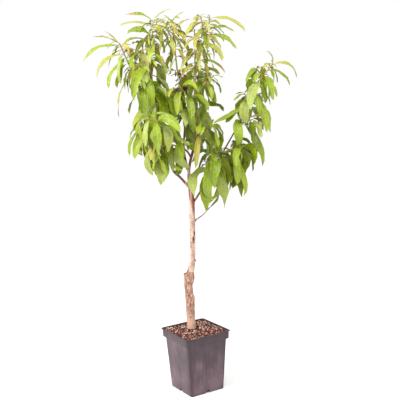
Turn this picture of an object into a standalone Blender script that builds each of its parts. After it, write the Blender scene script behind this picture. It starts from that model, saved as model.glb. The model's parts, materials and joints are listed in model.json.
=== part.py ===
"""A young grafted peach tree in a square plastic nursery pot, in metres with +Z up.

The origin is the centre of the pot's flat underside, and -Y is the front. The pot stands turned, one corner
towards the front. A thick rootstock carries a slim scion, which forks into boughs, and each bough ends where
it enters a mass of leaves. Azimuths are measured from +X towards +Y.
"""

import math
import random
from collections import namedtuple

import bmesh
import bpy
from mathutils import Matrix, Vector
from mathutils.bvhtree import BVHTree

MM = 0.001
GAP = 0.3 * MM

RIM_SIDE = 136 * MM
LIP_REACH = 2 * MM
LIP_THICKNESS = 2.2 * MM
LIP_CORNER = 9 * MM
COLLAR_HEIGHT = 21 * MM
COLLAR_STEP = 5.8 * MM
COLLAR_DRAFT = 0.5 * MM
NECK_RADIUS = 2 * MM
BASE_SIDE = 101.6 * MM
POT_HEIGHT = 160 * MM
POT_WALL = 1.6 * MM
POT_CORNER = 10 * MM
NECK_CORNER = 8 * MM
BASE_CORNER = 5 * MM
FOOT_WALL = 3 * MM
FLOOR_HEIGHT = 9.5 * MM
PAD_HALF = 14 * MM
PAD_CORNER = 4 * MM
PAD_DRAFT = 1.5 * MM
POT_TURN = math.radians(32.6)
NOTCH_WIDTH = 22 * MM
NOTCH_HEIGHT = 7.5 * MM
NOTCH_DEPTH = 7 * MM
NOTCH_NARROWING = 0.3
DRAIN_RADIUS = 4.5 * MM
DRAIN_SPREAD = 42 * MM
CORNER_STEPS = 4
DRAIN_SIDES = 12

MIX_EDGE = 157 * MM
MIX_TOP = 163 * MM
MIX_FLAT = 19 * MM
MIX_ROUGHNESS = 1.6 * MM
MIX_STEPS = 7

TRUNK_SIDES = 10
BOUGH_SIDES = 8
TWIG_SIDES = 6
ROUTE_STEP = 25 * MM

# Routes give points and widths in millimetres, and so do these widths of the trunk.
ROOT_COLLAR = 26
ROOTSTOCK = 22
GRAFT_SWELLING = 27
SCION = 15
LEADER = 7
LEADER_TIP = 4.4

LEAF_THICKNESS = 1.4 * MM
LEAF_FOLD = 0.25
LEADING_PROFILE = ((0, 0), (0.25, 0.74), (0.5, 1), (0.8, 0.54))
PLAIN_PROFILE = ((0, 0), (0.36, 1), (0.72, 0.7))
SHORT_PROFILE = ((0, 0), (0.45, 1))
SHORT_LEAF = 66 * MM
PETIOLE = 1.1 * MM
PATH_STEPS = 20
STEM_START = 4 * MM
STEM_END = 2.8 * MM
STEM_STATIONS = 4
STEM_REACH = 0.6
LEAF_REACH = 1.2
TOUCH_CLEARANCE = 0.5 * MM

# Side twigs, as a stem's shares, degrees and shares of its length.
TWIG_START = 3.4 * MM
TWIG_PLACE = 0.3
TWIG_ROOM = 0.35
TWIG_TURN = (60, 150)
TWIG_RISE = (25, 60)
TWIG_LENGTH = (0.45, 0.7)
TWIG_LEAVES = 0.5
FEWEST_LEAVES = 3

# Leaves follow each other at a fixed turn. They get shorter, narrower and steeper over the youngest part of a
# shoot, and the old ones hang. Angles are in degrees.
LEAF_TURN = 144
TURN_SPREAD = 20
BARE_FOOT = 0.12
CROWDING = 1.25
YOUNG_PART = 0.42
YOUNGEST_AGE = 0.35
YOUNG_LENGTH = 0.3
YOUNG_WIDTH = 0.25
SIZE_SPREAD = (0.85, 1.12)
YOUNG_OPENING = 28
OLD_OPENING = 72
OPENING_SPREAD = 10
YOUNG_DROOP = 0.55
RISE_DROOP = 0.5
DROOP_SPREAD = (0.8, 1.15)
LEADING_ROLL = 40
OUTWARD_ROLL = 35
ROLL_SPREAD = 30
SECOND_TRIES = (0, 40, -40, 80, -80)
NATURE = 20260

Bough = namedtuple("Bough", "name parent route")
MASS_FIELDS = "name limb along heading rise bend length leaves leaf width droop twigs seed leading"
Mass = namedtuple("Mass", MASS_FIELDS)
Leaf = namedtuple("Leaf", "share azimuth rise droop length width")

TRUNK_ROUTE = (
    ((-10, 0, 163.3), ROOT_COLLAR),
    ((-10, 0, 171), ROOT_COLLAR * 0.88),
    ((-10.6, 0, 184), ROOTSTOCK),
    ((-11, 0.5, 206), ROOTSTOCK),
    ((-11.2, 1, 232), ROOTSTOCK * 1.04),
    ((-12.6, 1.5, 256), ROOTSTOCK),
    ((-13.9, 1.5, 276), ROOTSTOCK),
    ((-13, 1.2, 290), ROOTSTOCK * 1.04),
    ((-10.8, 1, 301), GRAFT_SWELLING),
    ((-7.6, 0.5, 313), GRAFT_SWELLING * 0.74),
    ((-4.4, 0, 326), SCION * 1.14),
    ((-1.4, -1, 350), SCION * 1.1),
    ((1, -1.5, 386), SCION * 1.04),
    ((2.4, -1, 430), SCION),
    ((3.4, 0, 492), SCION * 0.94),
    ((1.4, 0.5, 530), SCION * 0.82),
    ((-1, 1, 562), SCION * 0.66),
    ((-0.5, 2, 582), LEADER),
    ((4, 2, 606), LEADER),
    ((13, 1, 636), LEADER * 0.95),
    ((20.5, 0, 664), LEADER * 0.9),
    ((22, -1, 704), LEADER * 0.85),
    ((20, -3, 752), LEADER * 0.78),
    ((23, -5, 800), LEADER * 0.7),
    ((27, -6, 838), LEADER_TIP),
)

BOUGHS = (
    Bough("left_bough", "trunk", (
        ((-1, 1, 536), 7.4), ((-24, 2, 563), 6.6), ((-39, 5, 578), 6.4), ((-47, 8, 597), 6.2),
        ((-62, 12, 642), 5.8), ((-84, 12, 706), 5.2), ((-104, 6, 762), 4.8), ((-121, 0, 806), 4.2))),
    Bough("right_bough", "trunk", (
        ((3, 0, 491), 6.4), ((17, 2, 511), 5.4), ((34, 8, 536), 5.0), ((56, 14, 572), 4.8),
        ((88, 22, 622), 4.4), ((121, 26, 676), 3.9), ((140, 22, 713), 3.7), ((153, 16, 744), 3.6),
        ((170, 6, 784), 3.5))),
    Bough("centre_bough", "trunk", (
        ((-0.5, 2, 580), 6.0), ((-8, 12, 602), 5.6), ((-12, 22, 638), 5.2), ((-7, 27, 700), 4.8),
        ((-6, 23, 760), 4.4), ((-15, 14, 812), 4.0), ((-21, 10, 836), 3.8))),
    Bough("front_bough", "trunk", (
        ((6, 1.6, 612), 5.6), ((-3, -16, 630), 5.2), ((-20, -40, 648), 4.8), ((-40, -64, 668), 4.4),
        ((-54, -84, 696), 3.8))),
    Bough("back_bough", "trunk", (
        ((16, 0.5, 648), 5.6), ((24, 22, 668), 5.2), ((33, 54, 698), 4.8), ((34, 86, 734), 4.4),
        ((28, 108, 774), 3.8))),
    Bough("upper_left_bough", "left_bough", (
        ((-64, 12, 648), 4.8), ((-68, 26, 684), 4.6), ((-77, 32, 740), 4.4), ((-85, 28, 800), 4.0),
        ((-86, 20, 845), 3.6))),
)

BARE_TWIG_ROUTE = (
    ((4, 0, 446), 6.5), ((13, -2, 453), 4.2), ((31, -6, 466), 2.6), ((45, -9, 481), 2.8),
    ((52, -10, 487), 1.6))
SPUR_ROUTE = (((45, -9, 480.5), 1.6), ((42.5, -9, 496), 1.3), ((40, -9, 512), 1.0))

MASSES = (
    Mass("leaves_far_left", "left_bough", 1.0, 180, 66, -4, 106, 13, 80, 17, 96, 1, 1, (
        Leaf(0.98, 176, 38, 42, 72, 9), Leaf(0.97, 200, 50, 16, 50, 8), Leaf(0.92, 184, 18, 76, 110, 14),
        Leaf(0.72, 192, 8, 95, 103, 18), Leaf(0.55, 204, -12, 80, 92, 17),
        Leaf(0.25, 172, -40, 60, 125, 11))),
    Mass("leaves_upper_left", "upper_left_bough", 1.0, 10, 86, 2, 112, 13, 72, 17, 92, 1, 2, (
        Leaf(0.98, 180, 48, 66, 76, 11), Leaf(0.86, 188, 32, 56, 88, 10), Leaf(0.62, 200, 60, 100, 74, 22),
        Leaf(0.42, 172, 62, 125, 98, 15), Leaf(0.92, -20, -8, 70, 112, 21), Leaf(0.9, -60, 10, 125, 76, 20),
        Leaf(0.98, 10, 58, 50, 58, 6))),
    Mass("leaves_left_crown", "left_bough", 0.88, -20, 75, 0, 100, 12, 95, 25, 118, 1, 3, (
        Leaf(0.7, -110, 10, 95, 140, 30),)),
    Mass("leaves_left_side", "left_bough", 0.72, -70, 62, 0, 76, 9, 100, 30, 120, 1, 4, ()),
    Mass("leaves_lower_left", "left_bough", 0.36, 196, 52, 0, 100, 10, 98, 26, 115, 1, 5, (
        Leaf(0.98, 184, -8, 70, 62, 10), Leaf(0.9, 200, -30, 60, 90, 16), Leaf(0.35, -84, -40, 55, 116, 31))),
    Mass("leaves_top_centre", "centre_bough", 1.0, 170, 86, 0, 120, 14, 64, 14, 78, 1, 6, (
        Leaf(0.97, 10, 54, 32, 40, 6), Leaf(0.74, 15, 66, 60, 60, 9), Leaf(0.95, 190, 58, 30, 28, 6))),
    Mass("leaves_centre_left", "centre_bough", 0.62, 196, 42, 4, 70, 8, 84, 21, 100, 1, 7, ()),
    Mass("leaves_centre", "trunk", 0.86, -150, 52, 4, 64, 8, 84, 21, 110, 1, 8, ()),
    Mass("leaves_front_top", "front_bough", 1.0, -140, 30, 5, 56, 9, 90, 23, 110, 1, 9, ()),
    Mass("leaves_front_low", "front_bough", 0.4, -150, 16, 5, 60, 10, 84, 23, 118, 1, 10, ()),
    Mass("leaves_inner_left", "left_bough", 0.4, -84, 14, 0, 54, 11, 100, 27, 118, 1, 24, ()),
    Mass("leaves_upper_right", "trunk", 1.0, 0, 70, -4, 124, 15, 64, 14, 84, 1, 11, (
        Leaf(1.0, -6, 14, 74, 100, 15), Leaf(0.73, 10, 38, 78, 76, 10), Leaf(0.63, -12, 16, 78, 92, 16),
        Leaf(0.48, -30, 0, 80, 74, 20), Leaf(0.15, 6, 10, 76, 80, 11))),
    Mass("leaves_top_middle", "trunk", 0.955, 80, 84, 0, 126, 12, 62, 13, 78, 1, 12, ()),
    Mass("leaves_mid_right", "trunk", 0.9, 4, 44, 2, 68, 10, 58, 14, 84, 1, 13, ()),
    Mass("leaves_right_column", "trunk", 0.74, -34, 36, 0, 62, 9, 98, 25, 120, 1, 14, (
        Leaf(0.4, -150, -20, 70, 110, 16), Leaf(0.97, 10, 25, 5, 72, 15))),
    Mass("leaves_lower_centre", "right_bough", 0.22, -55, 65, 5, 90, 13, 112, 28, 130, 1, 15, (
        Leaf(0.55, -20, -60, 30, 124, 30),)),
    Mass("leaves_lower_right", "right_bough", 0.46, -45, 10, 0, 60, 13, 110, 28, 125, 1, 16, (
        Leaf(0.1, -60, -50, 40, 128, 30), Leaf(0.5, -30, -50, 50, 124, 18))),
    Mass("leaves_right_edge", "right_bough", 0.7, -30, 16, 0, 42, 5, 94, 22, 114, 0, 17, (
        Leaf(0.6, -14, -62, 20, 122, 32), Leaf(0.3, -50, -50, 40, 104, 20),
        Leaf(0.98, -60, -20, 60, 62, 17))),
    Mass("leaves_far_right_low", "right_bough", 0.8, -30, 50, 0, 56, 8, 92, 24, 120, 1, 18, (
        Leaf(0.62, 8, -30, 60, 100, 23), Leaf(0.3, 210, -8, 40, 78, 19), Leaf(0.85, -60, -30, 60, 104, 24))),
    Mass("leaves_far_right_top", "right_bough", 1.0, -4, 50, 2, 74, 12, 62, 16, 96, 1, 19, (
        Leaf(0.95, 170, 116, 90, 42, 8), Leaf(0.93, 4, 34, 125, 88, 15), Leaf(0.7, -14, 10, 90, 76, 15),
        Leaf(0.3, -20, -10, 70, 66, 19), Leaf(0.25, -110, 0, 85, 110, 24), Leaf(0.5, -70, -10, 75, 90, 22))),
    Mass("leaves_back_top", "back_bough", 1.0, 110, 56, 10, 80, 12, 82, 20, 104, 1, 20, ()),
    Mass("leaves_back_low", "back_bough", 0.5, 130, 20, 8, 74, 12, 104, 26, 118, 1, 21, ()),
    Mass("leaves_back_left", "upper_left_bough", 0.5, 116, 40, 6, 84, 11, 98, 24, 112, 1, 22, ()),
    Mass("leaves_back_right", "right_bough", 0.34, 70, 26, 6, 76, 10, 102, 26, 114, 1, 23, ()),
)


def make_finish(name, colour, roughness):
    """A material with one colour and one roughness, no metal."""
    finish = bpy.data.materials.new(name)
    finish.use_nodes = True
    shader = finish.node_tree.nodes["Principled BSDF"]
    shader.inputs["Base Color"].default_value = (*colour, 1.0)
    shader.inputs["Roughness"].default_value = roughness
    shader.inputs["Metallic"].default_value = 0.0
    return finish


def black_plastic():
    """Thin injection-moulded plastic, almost black with a purple cast."""
    return make_finish("black_plastic", (0.13, 0.11, 0.13), 0.5)


def bark_and_pumice():
    """Coarse potting mix of bark chips and pumice."""
    return make_finish("bark_and_pumice", (0.24, 0.12, 0.08), 0.95)


def trunk_bark():
    """Smooth pinkish brown bark."""
    return make_finish("trunk_bark", (0.38, 0.24, 0.16), 0.8)


def bough_bark():
    """Younger bark, browner and a little shiny."""
    return make_finish("bough_bark", (0.3, 0.17, 0.1), 0.7)


def dead_wood():
    """Grey brown dead wood."""
    return make_finish("dead_wood", (0.35, 0.26, 0.2), 0.9)


def leaf_green():
    """Living leaves on green twigs."""
    return make_finish("leaf_green", (0.16, 0.32, 0.05), 0.45)


def place(bm, name, collection, finish):
    """A mesh object from a bmesh, its faces turned outwards."""
    bmesh.ops.recalc_face_normals(bm, faces=bm.faces)
    mesh = bpy.data.meshes.new(name)
    bm.to_mesh(mesh)
    bm.free()
    mesh.materials.append(finish)
    obj = bpy.data.objects.new(name, mesh)
    collection.objects.link(obj)
    return obj


def loft(bm, rings):
    """Closes a body through rings of equal length. A ring of one point is a tip."""
    rows = [[bm.verts.new(point) for point in ring] for ring in rings]
    for lower, upper in zip(rows, rows[1:]):
        count = max(len(lower), len(upper))
        for i in range(count):
            j = (i + 1) % count
            corners = [lower[i % len(lower)], lower[j % len(lower)]]
            corners += [upper[j % len(upper)], upper[i % len(upper)]]
            bm.faces.new(list(dict.fromkeys(corners)))
    for row in (rows[0], rows[-1]):
        if len(row) > 2:
            bm.faces.new(row)


def square_ring(half, corner, height):
    """A square with round corners, turned as the pot stands."""
    points = []
    for quarter in range(4):
        for step in range(CORNER_STEPS):
            angle = math.radians(90 * (quarter + step / (CORNER_STEPS - 1)))
            centre_angle = math.radians(45 + 90 * quarter)
            reach = (half - corner) * math.sqrt(2)
            x = reach * math.cos(centre_angle) + corner * math.cos(angle)
            y = reach * math.sin(centre_angle) + corner * math.sin(angle)
            points.append(Matrix.Rotation(POT_TURN, 3, "Z") @ Vector((x, y, height)))
    return points


def pot_levels():
    """Half sides, corners and heights of the pot's outer face, from the foot to the lip."""
    collar = RIM_SIDE / 2 - LIP_REACH
    ledge = POT_HEIGHT - COLLAR_HEIGHT
    shelf = collar - COLLAR_DRAFT
    return (
        (BASE_SIDE / 2, BASE_CORNER, 0.0),
        (shelf - COLLAR_STEP, NECK_CORNER, ledge - NECK_RADIUS),
        (shelf, POT_CORNER, ledge),
        (collar, POT_CORNER, POT_HEIGHT - LIP_THICKNESS),
        (RIM_SIDE / 2, LIP_CORNER, POT_HEIGHT - LIP_THICKNESS),
        (RIM_SIDE / 2, LIP_CORNER, POT_HEIGHT),
    )


def inner_levels():
    """Half sides, corners and heights of the pot's inner face, from the lip down to the floor."""
    foot, neck, ledge, collar = ((half - POT_WALL, corner - POT_WALL) for half, corner, _ in pot_levels()[:4])
    drop = POT_HEIGHT - COLLAR_HEIGHT + POT_WALL
    return (*collar, POT_HEIGHT), (*ledge, drop), (*neck, drop - NECK_RADIUS), (*foot, FLOOR_HEIGHT)


def make_cutters(collection):
    """Wedges that open the middle of each side of the foot, and rods that drain the floor."""
    finish = make_finish("cutter", (1, 0, 0), 1)
    for side in range(4):
        bm = bmesh.new()
        bmesh.ops.create_cube(bm, size=1)
        bmesh.ops.scale(bm, vec=(NOTCH_DEPTH * 2, NOTCH_WIDTH, 2 * NOTCH_HEIGHT), verts=bm.verts)
        for vert in bm.verts:
            if vert.co.z > 0:
                vert.co.y *= NOTCH_NARROWING
        bmesh.ops.translate(bm, vec=(BASE_SIDE / 2, 0, 0), verts=bm.verts)
        wedge = place(bm, f"notch_cutter_{side}", collection, finish)
        wedge.rotation_euler.z = POT_TURN + side * math.pi / 2
        bm = bmesh.new()
        radii = {"radius1": DRAIN_RADIUS, "radius2": DRAIN_RADIUS}
        bmesh.ops.create_cone(bm, cap_ends=True, segments=DRAIN_SIDES, depth=4 * POT_WALL, **radii)
        rod = place(bm, f"drain_cutter_{side}", collection, finish)
        angle = POT_TURN + (side + 0.5) * math.pi / 2
        rod.location = (DRAIN_SPREAD * math.cos(angle), DRAIN_SPREAD * math.sin(angle), FLOOR_HEIGHT)
    for obj in collection.objects:
        obj.hide_render = True
        obj.display_type = "WIRE"


def make_pot(collection, cutters):
    """A thin bucket. Its floor is held off the ground by the foot of its walls and by a pad in its middle."""
    under = (BASE_SIDE / 2 - FOOT_WALL, BASE_CORNER - FOOT_WALL)
    ceiling = FLOOR_HEIGHT - POT_WALL
    rings = [square_ring(PAD_HALF, PAD_CORNER, 0), square_ring(PAD_HALF + PAD_DRAFT, PAD_CORNER, ceiling)]
    rings += [square_ring(*under, ceiling), square_ring(*under, 0)]
    rings += [square_ring(*level) for level in pot_levels()]
    rings += [square_ring(*level) for level in inner_levels()]
    rings.append(square_ring(PAD_HALF + PAD_DRAFT - POT_WALL, PAD_CORNER - POT_WALL, FLOOR_HEIGHT))
    rings.append(square_ring(PAD_HALF - POT_WALL, PAD_CORNER - POT_WALL, POT_WALL))
    bm = bmesh.new()
    loft(bm, rings)
    pot = place(bm, "pot", collection, black_plastic())
    cut = pot.modifiers.new("openings", "BOOLEAN")
    cut.operation = "DIFFERENCE"
    cut.operand_type = "COLLECTION"
    cut.collection = cutters


def make_potting_mix(collection):
    """The filling of the pot, mounded a little round the trunk, with an uneven top."""
    nature = random.Random(NATURE)
    lip, ledge, neck, floor = inner_levels()
    slope = (lip[0] - ledge[0]) / (lip[2] - ledge[2])
    edge = ledge[0] + slope * (MIX_EDGE - ledge[2])
    corner = POT_CORNER - POT_WALL - GAP
    rings = [
        square_ring(floor[0] - GAP, corner, floor[2] + GAP),
        square_ring(neck[0] - GAP, corner, neck[2] + GAP),
        square_ring(ledge[0] - GAP, corner, ledge[2] + GAP),
        square_ring(edge - GAP, corner, MIX_EDGE),
    ]
    centre = Vector((TRUNK_ROUTE[0][0][0] * MM, 0, 0))
    for step in range(1, MIX_STEPS + 1):
        share = step / MIX_STEPS
        outer = square_ring(edge - GAP, corner, 0)
        ring = []
        for point in outer:
            flat = centre + Vector((point.x, point.y, 0)).normalized() * MIX_FLAT
            spot = point.lerp(flat, share)
            rough = 0 if step == MIX_STEPS else nature.uniform(-1, 1) * MIX_ROUGHNESS
            spot.z = MIX_EDGE + (MIX_TOP - MIX_EDGE) * share + rough
            ring.append(spot)
        rings.append(ring)
    bm = bmesh.new()
    loft(bm, rings)
    place(bm, "potting_mix", collection, bark_and_pumice())


def smooth_route(route):
    """Points and radii about every ROUTE_STEP on a Catmull-Rom curve through a route's stations."""
    spots = [Vector(point) * MM for point, _ in route]
    radii = [width * MM / 2 for _, width in route]
    spots = [2 * spots[0] - spots[1], *spots, 2 * spots[-1] - spots[-2]]
    made = []
    for i in range(1, len(spots) - 2):
        before, start, end, after = spots[i - 1:i + 3]
        steps = max(1, round((end - start).length / ROUTE_STEP))
        for k in range(steps):
            t = k / steps
            point = 0.5 * (
                2 * start
                + (end - before) * t
                + (2 * before - 5 * start + 4 * end - after) * t ** 2
                + (3 * start - before - 3 * end + after) * t ** 3
            )
            made.append((point, radii[i - 1] + (radii[i] - radii[i - 1]) * t))
    made.append((spots[-2], radii[-1]))
    return made


def tube(name, path, sides, collection, finish):
    """A tapering limb: a curve with a bevel and filled caps, made a closed mesh."""
    curve = bpy.data.curves.new(name, "CURVE")
    curve.dimensions = "3D"
    thickest = max(radius for _, radius in path)
    curve.bevel_depth = thickest
    curve.bevel_resolution = (sides - 4) // 2
    curve.use_fill_caps = True
    spline = curve.splines.new("POLY")
    spline.points.add(len(path) - 1)
    for target, (point, radius) in zip(spline.points, path):
        target.co = (*point, 1)
        target.radius = radius / thickest
    guide = bpy.data.objects.new(name, curve)
    collection.objects.link(guide)
    bpy.context.view_layer.update()
    evaluated = guide.evaluated_get(bpy.context.evaluated_depsgraph_get())
    mesh = bpy.data.meshes.new_from_object(evaluated)
    matrix = guide.matrix_world.copy()
    bpy.data.objects.remove(guide)
    bpy.data.curves.remove(curve)
    bm = bmesh.new()
    bm.from_mesh(mesh)
    bmesh.ops.remove_doubles(bm, verts=bm.verts, dist=0.001 * MM)
    bpy.data.meshes.remove(mesh)
    limb = place(bm, name, collection, finish)
    limb.matrix_world = matrix
    return limb


def is_closed(mesh):
    """Whether every edge of a mesh has two faces."""
    bm = bmesh.new()
    bm.from_mesh(mesh)
    closed = len(bm.faces) > 0 and all(len(edge.link_faces) == 2 for edge in bm.edges)
    bm.free()
    return closed


def combine(base, others, operation):
    """Joins a list of objects to the base, or cuts them from it, and removes them."""
    operands = bpy.data.collections.new("operands")
    bpy.context.scene.collection.children.link(operands)
    for other in others:
        for home in other.users_collection:
            home.objects.unlink(other)
        operands.objects.link(other)
    joint = base.modifiers.new("combine", "BOOLEAN")
    joint.operation = operation
    joint.operand_type = "COLLECTION"
    joint.collection = operands
    for solver in ("EXACT", "MANIFOLD"):
        joint.solver = solver
        bpy.context.view_layer.update()
        evaluated = base.evaluated_get(bpy.context.evaluated_depsgraph_get())
        mesh = bpy.data.meshes.new_from_object(evaluated)
        if is_closed(mesh):
            break
    base.modifiers.clear()
    base.data = mesh
    for other in others:
        bpy.data.objects.remove(other)
    bpy.data.collections.remove(operands)


def islands(bm):
    """Lists of the faces that hang together."""
    left = set(bm.faces)
    groups = []
    while left:
        stack = [left.pop()]
        group = []
        while stack:
            face = stack.pop()
            group.append(face)
            for edge in face.edges:
                for other in edge.link_faces:
                    if other in left:
                        left.remove(other)
                        stack.append(other)
        groups.append(group)
    return groups


def keep_largest(obj):
    """Drops loose scrap, and the inner walls of hollows that a join has sealed."""
    bm = bmesh.new()
    bm.from_mesh(obj.data)
    groups = islands(bm)
    groups.sort(key=lambda group: sum(face.calc_area() for face in group))
    spare = [face for group in groups[:-1] for face in group]
    bmesh.ops.delete(bm, geom=spare, context="FACES")
    bmesh.ops.delete(bm, geom=[vert for vert in bm.verts if not vert.link_faces], context="VERTS")
    bm.to_mesh(obj.data)
    bm.free()


def blob(name, centre, size, turn, collection, finish):
    """A small swelling of the bark: a stretched ball."""
    bm = bmesh.new()
    bmesh.ops.create_uvsphere(bm, u_segments=6, v_segments=5, radius=0.5)
    bmesh.ops.scale(bm, vec=[side * MM for side in size], verts=bm.verts)
    bmesh.ops.rotate(bm, matrix=Matrix.Rotation(math.radians(turn), 3, "Y"), verts=bm.verts)
    bmesh.ops.translate(bm, vec=Vector(centre) * MM, verts=bm.verts)
    return place(bm, name, collection, finish)


def stub(name, foot, end, widths, collection, finish):
    """The short cut end of a limb that was pruned away."""
    route = ((foot, widths[0]), (end, widths[1]))
    return tube(name, smooth_route(route), BOUGH_SIDES, collection, finish)


def make_trunk(collection, finish):
    """Rootstock, graft and scion in one limb, from the flat cut at the mix to the tip of the leader."""
    trunk = tube("trunk", smooth_route(TRUNK_ROUTE), TRUNK_SIDES, collection, finish)
    growths = [
        blob("fluted_side", (-5.5, -4, 240), (14, 15, 38), 4, collection, finish),
        blob("graft_shoulder", (-3.4, 0, 300), (16, 20, 26), -12, collection, finish),
        stub("rootstock_stub", (-15, 0, 296), (-22, -1, 312), (13, 9.5), collection, finish),
        stub("leader_stub", (-1, 0, 575), (-7.5, -6, 589), (6.4, 5), collection, finish),
        blob("pruning_scar", (6.5, -4, 407), (7, 8, 22), 0, collection, finish),
        blob("bud_left", (-4.4, 0, 462), (5, 5, 7), 0, collection, finish),
        blob("bud_right", (6.4, -2, 345), (6, 5, 8), 0, collection, finish),
    ]
    combine(trunk, growths, "UNION")
    keep_largest(trunk)


def thicker(path, gap):
    return [(point, radius + gap) for point, radius in path]


def clear_of_parent(piece, parent, paths, collection, finish):
    """Cuts the foot of a piece to hug the limb that carries it, with a narrow gap."""
    sides = TRUNK_SIDES if parent == "trunk" else BOUGH_SIDES
    around = tube("around", thicker(paths[parent], GAP), sides, collection, finish)
    combine(piece, [around], "DIFFERENCE")
    keep_largest(piece)


def make_bough(bough, paths, collection, finish):
    """One tapering bough, from its parent to where it enters a mass."""
    limb = tube(bough.name, paths[bough.name], BOUGH_SIDES, collection, finish)
    clear_of_parent(limb, bough.parent, paths, collection, finish)


def make_bare_twig(paths, collection, finish):
    """The dead twig low on the scion, with the thin spur that stands on its end."""
    twig = tube("bare_twig", paths["bare_twig"], TWIG_SIDES, collection, finish)
    spur = tube("spur", smooth_route(SPUR_ROUTE), TWIG_SIDES, collection, finish)
    combine(twig, [spur], "UNION")
    clear_of_parent(twig, "trunk", paths, collection, finish)


def heading_vector(azimuth, rise):
    azimuth = math.radians(azimuth)
    rise = math.radians(rise)
    return Vector((math.cos(azimuth) * math.cos(rise), math.sin(azimuth) * math.cos(rise), math.sin(rise)))


def arched(start, azimuth, rise, droop, length, shares, sag=1.0):
    """Points and directions at shares of a path that sets out at one slope and sinks by droop on its way.

    A sag over 1 takes most of the bend near the start, so that the rest hangs straight.
    """
    point = Vector(start)
    made = []
    wanted = list(shares)
    for k in range(PATH_STEPS + 1):
        gone = k / PATH_STEPS
        while wanted and wanted[0] <= gone + 1e-9:
            sunk = droop * (1 - (1 - gone) ** sag)
            made.append((point.copy(), heading_vector(azimuth, rise - sunk)))
            wanted.pop(0)
        half_on = min(1, gone + 0.5 / PATH_STEPS)
        middle = heading_vector(azimuth, rise - droop * (1 - (1 - half_on) ** sag))
        point += middle * (length / PATH_STEPS)
    return made


def leaf_rings(start, azimuth, rise, droop, length, width, roll, sag, profile, spare=0.0):
    """Three-cornered sections of one leaf: two edges and a keel, from the petiole to the tip.

    The profile gives shares of the length and of the width. A spare makes the leaf stouter all round, for
    testing what it would touch.
    """
    rings = []
    path = arched(start, azimuth, rise, droop, length, [share for share, _ in profile] + [1], sag)
    across = heading_vector(azimuth + 90, 0)
    for (point, along), (_, wide) in zip(path, profile):
        half = max(PETIOLE, wide * width) / 2
        deep = LEAF_THICKNESS if wide else PETIOLE / 2
        side = Matrix.Rotation(math.radians(roll), 3, along) @ across
        up = along.cross(side)
        edge = side * (half + spare)
        fold = up * (LEAF_FOLD * half + spare)
        keel = up * (deep + spare)
        rings.append([point + edge + fold, point - keel, point - edge + fold])
    rings.append([path[-1][0]])
    return rings


def twig_rings(path, azimuth, thick, thin):
    """Three-sided sections of a twig along its path."""
    rings = []
    across = heading_vector(azimuth + 90, 0)
    for index, (point, along) in enumerate(path):
        radius = thick + (thin - thick) * index / (len(path) - 1)
        up = across.cross(along).normalized()
        side = along.cross(up)
        ring = []
        for corner in range(3):
            angle = math.radians(120 * corner + 30)
            ring.append(point + (side * math.cos(angle) + up * math.sin(angle)) * radius)
        rings.append(ring)
    return rings


def surface(rings):
    """Points and faces of a loft, for testing what it touches."""
    points = [point for ring in rings for point in ring]
    faces = []
    first = 0
    for lower, upper in zip(rings, rings[1:]):
        second = first + len(lower)
        for i in range(3):
            j = (i + 1) % 3
            faces.append([first + i, first + j, second + j % len(upper), second + i % len(upper)])
        first = second
    return points, [list(dict.fromkeys(face)) for face in faces]


def tree_of(shapes):
    """One search tree over many lofts."""
    points = []
    faces = []
    for more, sides in shapes:
        faces += [[index + len(points) for index in side] for side in sides]
        points += more
    return BVHTree.FromPolygons(points, faces)


def limb_shape(obj):
    """Points and faces of a finished piece, in world space."""
    points = [obj.matrix_world @ vert.co for vert in obj.data.vertices]
    return points, [list(face.vertices) for face in obj.data.polygons]


def point_along(path, share):
    """Point and direction at a share of a limb's length."""
    spots = [point for point, _ in path]
    lengths = [(end - start).length for start, end in zip(spots, spots[1:])]
    left = share * sum(lengths)
    for start, end, length in zip(spots, spots[1:], lengths):
        if left <= length:
            return start.lerp(end, left / length), (end - start).normalized()
        left -= length
    return spots[-1], (spots[-1] - spots[-2]).normalized()


def seat_on(path, share):
    """The point at a share of a stem's stations, and the stem's direction there."""
    seat = share * (len(path) - 1)
    low = min(int(seat), len(path) - 2)
    return path[low][0].lerp(path[low + 1][0], seat - low), path[low][1]


def stem_of(mass, paths):
    """The main stem of a mass: it carries on from a bough's tip, or leaves the limb's side."""
    point, along = point_along(paths[mass.limb], mass.along)
    start = point + along * GAP if mass.along == 1.0 else point
    shares = [k / STEM_STATIONS for k in range(STEM_STATIONS + 1)]
    return arched(start, mass.heading, mass.rise, mass.bend, mass.length * MM, shares)


def twigs_of(mass):
    """Side twigs by the seeded rule: where each leaves the stem, its heading, rise, length and leaves."""
    nature = random.Random(f"{NATURE} {mass.seed} twigs")
    twigs = []
    for k in range(mass.twigs):
        share = TWIG_PLACE + TWIG_ROOM * (k + nature.random()) / mass.twigs
        turn = nature.uniform(*TWIG_TURN) * nature.choice((-1, 1))
        rise = nature.uniform(*TWIG_RISE)
        length = mass.length * nature.uniform(*TWIG_LENGTH)
        twigs.append((share, mass.heading + turn, rise, length))
    return twigs


def outward_roll(start, azimuth):
    """The roll that leans a blade's upper side away from the middle of the crown."""
    outward = Vector((start.x, start.y, 0)).normalized()
    return -OUTWARD_ROLL * outward.dot(heading_vector(azimuth + 90, 0))


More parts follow.
